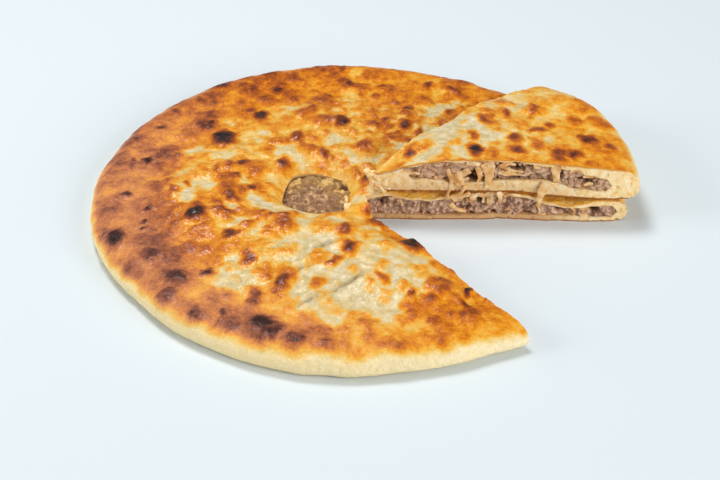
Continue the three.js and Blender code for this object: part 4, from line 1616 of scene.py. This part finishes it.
def rounded(line):
    """A line with its corners cut off again and again."""
    line = np.array(line, float)
    for _ in range(CORNER_ROUNDS):
        first = (1 - CORNER_CUT) * line[:-1] + CORNER_CUT * line[1:]
        second = CORNER_CUT * line[:-1] + (1 - CORNER_CUT) * line[1:]
        inner = np.stack([first, second], 1).reshape(-1, line.shape[1])
        line = np.concatenate([line[:1], inner[1:-1], line[-1:]])
    return line


def hanging_leaf(face, random, line, wide_from, wide_to, out, roll):
    """A leaf of onion through pixels of the photo, hanging over a cut face."""
    points = rounded([face.seen_at(px, py, out) for px, py in line])
    count = len(points)
    ripple = random.uniform(0.0, 2 * math.pi)
    path = []
    for number, point in enumerate(points):
        way = points[min(number + 1, count - 1)] - points[max(number - 1, 0)]
        way = way / np.linalg.norm(way)
        side = np.cross(way, face.out)
        turn = roll + HANGING_ROLL * math.sin(ripple + HANGING_ROLL_WAVES * number / count)
        across = side * math.cos(turn) + face.out * math.sin(turn)
        sway = face.out * HANGING_SWAY * math.sin(ripple + HANGING_SWAY_WAVES * number / count)
        path.append((point + sway, across, np.cross(across, way)))
    wides = np.linspace(wide_from, wide_to, count) * end_taper(count, HANGING_ENDS)
    uneven = noise(np.arange(count) / HANGING_UNEVEN_SPAN, np.full(count, ripple), HANGING_SEED)
    wides = wides * (1 + HANGING_UNEVEN * uneven)
    return leaf(path, wides, random.uniform(*HANGING_CURL))


def lying_leaf(face, random, along, height, turn, long, wide, out):
    """A leaf of onion lying on a cut face, bent and twisted a little."""
    steps = max(STREWN_LEAST_STEPS, round(long / STREWN_STEP))
    bend = random.uniform(*STREWN_BEND)
    roll = random.uniform(*STREWN_ROLL)
    ripple = random.uniform(0.0, 2 * math.pi)
    path = []
    for number in range(steps):
        t = number / (steps - 1) - 0.5
        slope = turn + bend * STREWN_BEND_GAIN * t
        at_along = along + long * t * math.cos(slope)
        at_height = height + long * t * math.sin(slope)
        at_out = out + STREWN_SWAY * math.sin(ripple + STREWN_SWAY_WAVES * t)
        flat = face.up * math.cos(slope) - face.along * math.sin(slope)
        across = flat * math.cos(roll) + face.out * math.sin(roll)
        upward = face.out * math.cos(roll) - flat * math.sin(roll)
        path.append((face.at(at_along, at_height, at_out), across, upward))
    return leaf(path, wide * end_taper(steps, STREWN_ENDS), random.uniform(*STREWN_CURL))


def strewn_leaves(face, random, count, span, floor, top):
    """Leaves of onion strewn over a cut face, between the floor and the top of the filling."""
    leaves = []
    for _ in range(count):
        along = random.uniform(*span)
        high = top(along)
        height = random.uniform(floor + STREWN_MARGIN, high - STREWN_MARGIN)
        turn = random.normal(0.0, STREWN_TURN)
        long = random.uniform(*STREWN_LONG)
        long = min(long, STREWN_ROOM * (high - floor) / max(STREWN_LEAST_SLOPE, abs(math.sin(turn))))
        wide = random.uniform(*STREWN_WIDE)
        out = random.uniform(*STREWN_FROM_FACE)
        leaves.append(lying_leaf(face, random, along, height, turn, long, wide, out))
    return leaves


def lump(random, place, size):
    """A torn lump of crumb, with knobs on its knobs."""
    tilt = np.pi * np.arange(1, LUMP_RINGS) / LUMP_RINGS
    turn = 2 * np.pi * np.arange(LUMP_SIDES) / LUMP_SIDES
    tilt, turn = (grid.ravel() for grid in np.meshgrid(tilt, turn, indexing="ij"))
    way = np.stack([np.sin(tilt) * np.cos(turn), np.sin(tilt) * np.sin(turn), np.cos(tilt)], -1)
    way = np.concatenate([[[0.0, 0.0, 1.0]], way, [[0.0, 0.0, -1.0]]])
    shift = random.uniform(0.0, FAR_OFF, 3)
    knobs = fractal_in_space(*(LUMP_KNOB_WAVES * way + shift).T, KNOB_SLANT, 1.0, KNOB_SEED)
    reach = 1 + LUMP_KNOBS * knobs
    points = place + way * np.array([1.0, 1.0, LUMP_FLAT]) * (size * reach)[:, None]
    faces = []
    last = len(points) - 1
    for side in range(LUMP_SIDES):
        after = (side + 1) % LUMP_SIDES
        faces.append([0, 1 + side, 1 + after])
        for ring in range(LUMP_RINGS - 2):
            here, there = 1 + ring * LUMP_SIDES, 1 + (ring + 1) * LUMP_SIDES
            faces.append([here + side, there + side, there + after, here + after])
        foot = 1 + (LUMP_RINGS - 2) * LUMP_SIDES
        faces.append([foot + side, last, foot + after])
    return list(points), faces


def joined(parts):
    """One list of points and one of faces from many."""
    points, faces = [], []
    for more_points, more_faces in parts:
        start = len(points)
        points.extend(more_points)
        faces.extend([[start + index for index in face] for face in more_faces])
    return np.array(points), faces


# Materials

# Sockets of the node that mixes two colours
MIX_AMOUNT, MIX_FIRST, MIX_SECOND, MIX_RESULT = 0, 6, 7, 2


def srgb(red, green, blue):
    """Linear colour, with alpha, of 8-bit screen values."""
    def linear(value):
        value /= 255.0
        return value / 12.92 if value <= 0.04045 else ((value + 0.055) / 1.055) ** 2.4
    return linear(red), linear(green), linear(blue), 1.0


class Shader:
    """A material in the making. Spans are in millimetres. An input is a number, a colour or a socket."""

    def __init__(self, name):
        self.material = bpy.data.materials.new(name)
        self.material.use_nodes = True
        self.nodes = self.material.node_tree.nodes
        self.links = self.material.node_tree.links
        self.surface = self.nodes["Principled BSDF"]
        place = self.nodes.new("ShaderNodeTexCoord").outputs["Object"]
        self.place = self.node("ShaderNodeVectorMath", {"operation": "SCALE"}, {0: place, "Scale": 1 / MM})

    def node(self, kind, settings, inputs, output=0):
        node = self.nodes.new(kind)
        for name, value in settings.items():
            setattr(node, name, value)
        self.fill(node, inputs)
        return node.outputs[output]

    def fill(self, node, inputs):
        for name, value in inputs.items():
            if isinstance(value, bpy.types.NodeSocket):
                self.links.new(value, node.inputs[name])
            elif isinstance(value, tuple):
                node.inputs[name].default_value = srgb(*value)
            else:
                node.inputs[name].default_value = value

    def math(self, operation, a, b, clamp=False):
        return self.node("ShaderNodeMath", {"operation": operation, "use_clamp": clamp}, {0: a, 1: b})

    def plus(self, a, b, clamp=False):
        return self.math("ADD", a, b, clamp)

    def times(self, a, b):
        return self.math("MULTIPLY", a, b)

    def field(self, name):
        """A number that was painted on the mesh."""
        return self.node("ShaderNodeAttribute", {"attribute_name": name}, {}, "Fac")

    def noise(self, span, detail=2.0, roughness=0.5, distortion=0.0):
        """Noise about 0, from about -0.5 to 0.5."""
        inputs = {"Vector": self.place, "Scale": 1 / span, "Detail": detail,
                  "Roughness": roughness, "Distortion": distortion}
        return self.math("SUBTRACT", self.node("ShaderNodeTexNoise", {}, inputs, "Fac"), 0.5)

    def share(self, span, detail=2.0, roughness=0.5):
        """Noise about a half, from about 0 to 1."""
        return self.plus(self.noise(span, detail, roughness), 0.5)

    def grains(self, span, output):
        inputs = {"Vector": self.place, "Scale": 1 / span, "Randomness": 1.0}
        return self.node("ShaderNodeTexVoronoi", {}, inputs, output)

    def between(self, value, low, high, out_low=0.0, out_high=1.0):
        """A number that goes from one value to another while the input goes from low to high."""
        inputs = {"Value": value, "From Min": low, "From Max": high, "To Min": out_low, "To Max": out_high}
        return self.node("ShaderNodeMapRange", {"interpolation_type": "SMOOTHSTEP"}, inputs)

    def fading(self, value, low, high):
        """A number that goes from 1 to 0 while the input goes from low to high."""
        return self.between(value, low, high, out_low=1.0, out_high=0.0)

    def ramp(self, value, stops):
        node = self.nodes.new("ShaderNodeValToRGB")
        elements = node.color_ramp.elements
        while len(elements) < len(stops):
            elements.new(0.5)
        for element, (place, colour) in zip(elements, stops):
            element.position = place
            element.color = srgb(*colour)
        self.fill(node, {"Fac": value})
        return node.outputs["Color"]

    def laid_over(self, colour, other, amount, most=1.0):
        """A colour with another over it, by an amount from 0 to 1 and never by more than most."""
        inputs = {MIX_AMOUNT: self.times(amount, most), MIX_FIRST: colour, MIX_SECOND: other}
        return self.node("ShaderNodeMix", {"data_type": "RGBA"}, inputs, MIX_RESULT)

    def bump(self, height, distance, below=None):
        inputs = {"Height": height, "Distance": distance * MM, "Strength": 1.0}
        if below is not None:
            inputs["Normal"] = below
        return self.node("ShaderNodeBump", {}, inputs)

    def finish(self, **inputs):
        named = {name.replace("_", " "): value for name, value in inputs.items()}
        self.fill(self.surface, named)
        return self.material


def crust_material():
    """Baked crust, brushed with butter: its colour follows how far it is baked, with a painted sheen on the
    matt left rim and painted shade in its creases.
    """
    shader = Shader("crust")
    bake, dry = shader.field("bake"), shader.field("dry")
    blotched = shader.between(dry, low=0.0, high=1.0, out_low=0.40, out_high=0.26)
    mottle = shader.times(shader.noise(span=4.5, detail=4.0, roughness=0.6, distortion=0.4), blotched)
    speckle = shader.times(shader.noise(span=0.8, detail=2.0, roughness=0.6), 0.24)
    grain = shader.times(shader.noise(span=2.0, detail=3.0, roughness=0.6), 0.26)
    spread = shader.plus(shader.plus(mottle, speckle), grain)
    lively = shader.between(bake, low=0.02, high=0.4, out_low=0.35, out_high=1.0)
    baked = shader.plus(bake, shader.times(spread, lively), clamp=True)
    colour = shader.ramp(baked, GLOSSY_CRUST)
    # On the dry left rim the matt ramp lays a painted sheen over the baked colour.
    colour = shader.laid_over(colour, shader.ramp(baked, MATT_CRUST), dry, most=0.9)
    pale = shader.fading(baked, low=0.14, high=0.34)
    film = shader.ramp(shader.share(span=5.0, detail=3.0, roughness=0.6), THIN_CRUST)
    colour = shader.laid_over(colour, film, shader.times(shader.field("thin"), pale), most=0.8)
    # Painted shade in the creases of the pale crust
    crease = shader.times(shader.field("crease"), pale)
    colour = shader.laid_over(colour, CREASE_COLOUR, crease, most=0.7)
    rim = shader.plus(shader.field("rim"), shader.noise(span=14.0, detail=3.0))
    butter = shader.between(rim, low=0.0, high=0.7, out_low=0.55, out_high=0.16)
    rough = shader.plus(shader.times(shader.noise(span=7.0, detail=3.0), 0.5), 0.46, clamp=True)
    normal = shader.bump(shader.noise(span=1.3, detail=3.0, roughness=0.6), distance=0.6)
    normal = shader.bump(shader.noise(span=3.5), distance=1.2, below=normal)
    coat_normal = shader.bump(shader.noise(span=2.2), distance=0.6)
    return shader.finish(
        Base_Color=colour, Roughness=rough, Normal=normal, Specular_IOR_Level=0.12,
        Coat_Weight=butter, Coat_Roughness=0.17, Coat_Normal=coat_normal)


def crumb_material(name, baked):
    """Cut and torn dough: cream crumb with pores in painted shade, toasted by the crust and the sole where
    it is baked, and darkened near the sole by soaking and painted shade.
    """
    shader = Shader(name)
    colour = shader.ramp(shader.share(span=4.0, detail=4.0, roughness=0.6), CRUMB_CREAM)
    pore_span = 3.8
    cell = shader.node("ShaderNodeSeparateColor", {}, {"Color": shader.grains(pore_span, "Color")})
    size = shader.between(cell, low=0.45, high=1.0, out_low=0.0, out_high=0.26)
    pore = shader.math("LESS_THAN", shader.grains(pore_span, "Distance"), size)
    # The pores are darkened as painted shade.
    colour = shader.laid_over(colour, PORE_COLOUR, pore, most=0.5)
    if baked:
        soaked, sole = shader.field("soaked"), shader.field("sole")
        skin = shader.plus(shader.field("skin"), shader.noise(span=2.5))
        toasted = shader.fading(skin, low=0.3, high=2.0)
        unsoaked = shader.between(soaked, low=0.6, high=1.0, out_low=1.0, out_high=0.35)
        toasted = shader.times(toasted, unsoaked)
        colour = shader.laid_over(colour, TOASTED_COLOUR, toasted)
        # Darker towards the sole: soaked dough and painted shade
        low = shader.times(shader.fading(sole, low=2.0, high=11.0), soaked)
        colour = shader.laid_over(colour, SOAKED_COLOUR, low, most=0.75)
        lowest = shader.fading(shader.plus(sole, shader.noise(span=2.5)), low=0.3, high=1.3)
        colour = shader.laid_over(colour, SOLE_COLOUR, lowest)
    normal = shader.bump(shader.noise(span=1.0, detail=3.0, roughness=0.6), distance=0.6)
    normal = shader.bump(shader.times(pore, -1.0), distance=0.8, below=normal)
    return shader.finish(Base_Color=colour, Roughness=0.6, Normal=normal, Specular_IOR_Level=0.2)


def meat_material():
    """Cooked minced meat: grains of grey-brown, some darker, lighter in the slice, with painted shade in the
    pits and gaps.
    """
    shader = Shader("meat")
    fine = shader.times(shader.noise(span=1.3, detail=3.0, roughness=0.7), 0.9)
    mixed = shader.plus(fine, shader.noise(span=5.0, detail=5.0, roughness=0.7, distortion=0.6))
    mixed = shader.plus(mixed, 0.5)
    colour = shader.ramp(mixed, CUT_MINCE)
    colour = shader.laid_over(colour, shader.ramp(mixed, VENT_MINCE), shader.field("browned"))
    colour = shader.laid_over(colour, shader.ramp(mixed, VENT_FILM), shader.field("film"), most=0.75)
    # Painted shade in the pits of the mince
    colour = shader.laid_over(colour, PIT_COLOUR, shader.field("pit"), most=0.6)
    # The slice's meat is laid over with a lighter colour
    colour = shader.laid_over(colour, FAT_COLOUR, shader.field("fatty"), most=0.45)
    # Painted shade by depth: in the gaps between clumps and under the vent's lip
    gaps = shader.between(shader.field("deep"), low=2.2, high=5.8)
    colour = shader.laid_over(colour, GAP_COLOUR, gaps, most=0.85)
    normal = shader.bump(shader.noise(span=0.9, detail=3.0, roughness=0.6), distance=0.7)
    return shader.finish(Base_Color=colour, Roughness=0.45, Normal=normal, Specular_IOR_Level=0.35)


def onion_material():
    """Soft cooked onion, pale and golden."""
    shader = Shader("onion")
    colour = shader.ramp(shader.share(span=6.0, detail=4.0), COOKED_ONION)
    normal = shader.bump(shader.noise(span=1.5, detail=3.0, roughness=0.6), distance=0.4)
    return shader.finish(Base_Color=colour, Roughness=0.35, Normal=normal, Specular_IOR_Level=0.35)


CRUST = crust_material()
CRUMB = crumb_material("crumb", True)
LOOSE_CRUMB = crumb_material("loose crumb", False)
MEAT = meat_material()
ONION = onion_material()


# The pieces of the pie and of the slice

def paint_dough(mesh, crust, height, bake_field, soaked_share, dry_side):
    """Marks how each point of the dough is baked, how wet it is and how much painted shade it takes near its
    sole, and how far it lies from crust and sole.
    """
    x, y, z = mesh_points(mesh).T
    out, top = share_out(x, y), height(x, y)
    bake, thin = bake_field(x, y, z / top)
    paint(
        mesh,
        bake=np.where(z < SOLE_HEIGHT, SOLE_BAKE, bake),
        thin=thin,
        crease=bell(crust.crease_field(x, y), CREASE_SHADE_WIDE),
        dry=dry_side * dryness(x, y),
        rim=smooth(out, *RIM_OUT),
        skin=np.minimum(top - z, FAR_OFF),
        sole=z,
        soaked=soaked_share * falling(out, *SOAKED_OUT),
    )


def add_pie_crust():
    crumb = crumb_relief(PIE_CRUMB_SEED)

    def relief(u, z):
        _, lip = far_lips(CUT_REACH - u)
        return crumb(u, z) + lip * smooth(z, *LIP_HEIGHTS)

    mesh = carve(
        make_mesh("pie", *whole_pie(PIE_CRUST_GRID, pie_height), CRUST),
        ("DIFFERENCE", make_mesh("room", *pie_filling(0), CRUMB)),
        ("DIFFERENCE", make_mesh("vent", *vent_prism(), CRUMB)),
        ("DIFFERENCE", make_mesh("cut", *knife_prism(gap_corners(0), CRUMB_STEP, relief, True), CRUMB)),
    )
    paint_dough(mesh, PIE_CRUST, pie_height, pie_bake, PIE_SOAKED, True)
    smooth_but_at_cuts(mesh)
    piece("pie_crust", mesh, ["pie_dough"])


def add_slice_crust():
    sides = knife_prism(slice_corners(0), CRUMB_STEP, crumb_relief(SLICE_CRUMB_SEED), False)
    mesh = carve(
        make_mesh("pie", *whole_pie(SLICE_CRUST_GRID, slice_height), CRUST),
        ("DIFFERENCE", make_mesh("room", *slice_filling(0), CRUMB)),
        ("INTERSECT", make_mesh("sides", *sides, CRUMB)),
    )
    paint_dough(mesh, SLICE_CRUST, slice_height, slice_bake, SLICE_SOAKED, False)
    set_points(mesh, lay_on_pie(mesh_points(mesh)))
    smooth_but_at_cuts(mesh)
    piece("slice_crust", mesh, ["slice_dough"])


def paint_meat(mesh, face, seed, side_distance, fatty):
    """Marks how deep each point of the meat lies behind its cut or below the vent's mouth, and its pits,
    which the meat material turns into painted shade.
    """
    x, y, z = mesh_points(mesh).T
    below = np.maximum(plain_height(x, y) - VENT_RECESS - z, 0.0)
    in_vent = from_vent(x, y) < VENT_RADIUS + VENT_PAINT_MARGIN
    _, grain = mince(CUT_REACH - face.length_to(x, y), z, seed)
    _, vent_grain = vent_mince(x, y)
    grain = np.where(in_vent, VENT_GRAIN_PAINTED * vent_grain, grain)
    patchy = noise_layer(x, y, FILM_PATCHY, VENT_SEED)
    film = smooth(y - VENT[1] + FILM_SKEW * (x - VENT[0]) + patchy, *FILM_AWAY)
    paint(
        mesh,
        # deep: depth behind the cut and below the vent's mouth, painted as shade by the meat material
        deep=np.where(in_vent, VENT_DEPTH_PAINTED * below, side_distance(x, y)),
        pit=smooth(-grain, *PIT_GRAIN),
        browned=in_vent,
        film=in_vent * film,
        fatty=fatty,
    )


def add_pie_meat():
    hollows = hollow_marks(PIE_FACE, PIE_HOLLOWS, level_on_pie)
    face = meat_face(PIE_MINCE_SEED, PIE_BASE_DOUGH, PIE_MINCE_DEPTH, PIE_MINCE_ROUGH, hollows)
    cut = knife_prism(gap_corners(MINCE_SET_BACK), MINCE_STEP, face, True)
    mesh = carve(
        make_mesh("meat", *pie_filling(FILLING_GAP), MEAT),
        ("UNION", make_mesh("vent", *vent_meat(), MEAT)),
        ("DIFFERENCE", make_mesh("cut", *cut, MEAT)),
    )
    paint_meat(mesh, PIE_FACE, PIE_MINCE_SEED, cut_distance, PIE_FATTY)
    mesh.shade_smooth()
    piece("pie_meat", mesh, ["pie_filling"])


def add_slice_meat():
    hollows = hollow_marks(LAID_FACE, SLICE_HOLLOWS, level_in_slice)
    face = meat_face(SLICE_MINCE_SEED, SLICE_BASE_DOUGH, SLICE_MINCE_DEPTH, SLICE_MINCE_ROUGH, hollows)
    sides = knife_prism(slice_corners(MINCE_SET_BACK), MINCE_STEP, face, False)
    body = make_mesh("meat", *slice_filling(FILLING_GAP), MEAT)
    mesh = carve(body, ("INTERSECT", make_mesh("sides", *sides, MEAT)))
    paint_meat(mesh, SLICE_FACE, SLICE_MINCE_SEED, slice_side_distance, SLICE_FATTY)
    set_points(mesh, lay_on_pie(mesh_points(mesh)))
    mesh.shade_smooth()
    piece("slice_meat", mesh, ["slice_filling"])


def add_loose(name, parts, material, voxel, ragged):
    """Puts many small parts, run together, into the scene as one piece."""
    mesh = run_together(make_mesh(name, *joined(parts), material), voxel, ragged)
    mesh.shade_smooth()
    piece(name, mesh)


def add_pie_onion(random):
    leaves = [hanging_leaf(PIE_FACE, random, *mark) for mark in PIE_STRANDS]
    top = top_along(PIE_FACE, pie_filling_top)
    leaves += strewn_leaves(PIE_FACE, random, PIE_STREWN, PIE_STREWN_ALONG, PIE_BASE_DOUGH, top)
    add_loose("pie_onion", leaves, ONION, ONION_VOXEL, ONION_RAGGED)


def add_slice_onion(random):
    top = top_along(SLICE_FACE, slice_filling_top)
    strewn = strewn_leaves(SLICE_FACE, random, SLICE_STREWN, SLICE_STREWN_ALONG, SLICE_BASE_DOUGH, top)
    points, faces = joined(strewn)
    leaves = [hanging_leaf(LAID_FACE, random, *mark) for mark in SLICE_STRANDS]
    leaves.append((list(lay_on_pie(points)), faces))
    add_loose("slice_onion", leaves, ONION, ONION_VOXEL, ONION_RAGGED)


def add_tip_crumbs(random):
    """The torn crumbs at the slice's tip and in the vent's mouth."""
    lumps = []
    for px, py, size in TIP_CRUMBS:
        lumps.append(lump(random, LAID_FACE.seen_at(px, py, -LUMP_SUNK * size), size))
    for px, py, size in VENT_CRUMBS:
        x, y = on_pie(px, py)
        lumps.append(lump(random, np.array([x, y, plain_height(x, y) - VENT_RECESS]), size))
    add_loose("tip_crumbs", lumps, LOOSE_CRUMB, TORN_VOXEL, TORN_RAGGED)


# Stage, light and camera

def add_floor():
    corners = [(x * FLOOR_HALF, y * FLOOR_HALF, 0) for x, y in ((-1, -1), (1, -1), (1, 1), (-1, 1))]
    material = Shader("floor").finish(Base_Color=FLOOR_COLOUR, Roughness=0.8)
    floor = put("floor", make_mesh("floor", corners, [(0, 1, 2, 3)], material))
    floor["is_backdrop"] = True


def add_sky():
    world = bpy.data.worlds.new("sky")
    world.use_nodes = True
    background = world.node_tree.nodes["Background"]
    background.inputs["Color"].default_value = srgb(*SKY_COLOUR)
    background.inputs["Strength"].default_value = SKY_STRENGTH
    bpy.context.scene.world = world


def add_lamp(name, place, size, power, colour):
    """A square lamp, facing the middle of the pie."""
    light = bpy.data.lights.new(name, "AREA")
    light.size = size
    light.energy = power
    light.color = colour
    lamp = put(name, light)
    lamp.location = place
    lamp.rotation_euler = (-Vector(place)).to_track_quat("-Z", "Y").to_euler()


def add_camera():
    camera = bpy.data.cameras.new("camera")
    camera.lens = CAMERA_LENS
    camera.sensor_width = CAMERA_SENSOR
    target = Vector(CAMERA_TARGET) + Vector((*PIE_MIDDLE, 0.0))
    back = Vector((0.0, -math.cos(CAMERA_ELEVATION), math.sin(CAMERA_ELEVATION)))
    stand = put("camera", camera)
    stand.location = (target + CAMERA_DISTANCE * back) * MM
    stand.rotation_euler = (-back).to_track_quat("-Z", "Y").to_euler()
    bpy.context.scene.camera = stand


# Putting it together

add_pie_crust()
add_slice_crust()
add_pie_meat()
add_slice_meat()
random = np.random.default_rng(RANDOM_SEED)
add_pie_onion(random)
add_slice_onion(random)
add_tip_crumbs(random)

add_floor()
add_sky()
for lamp in LAMPS:
    add_lamp(*lamp)
add_camera()
bpy.context.scene.view_settings.view_transform = "Standard"

visual_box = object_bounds()
boxes = {"cad": CAD_BOX, "visual": visual_box}
{name: [list(corner) for corner in box] for name, box in boxes.items()}
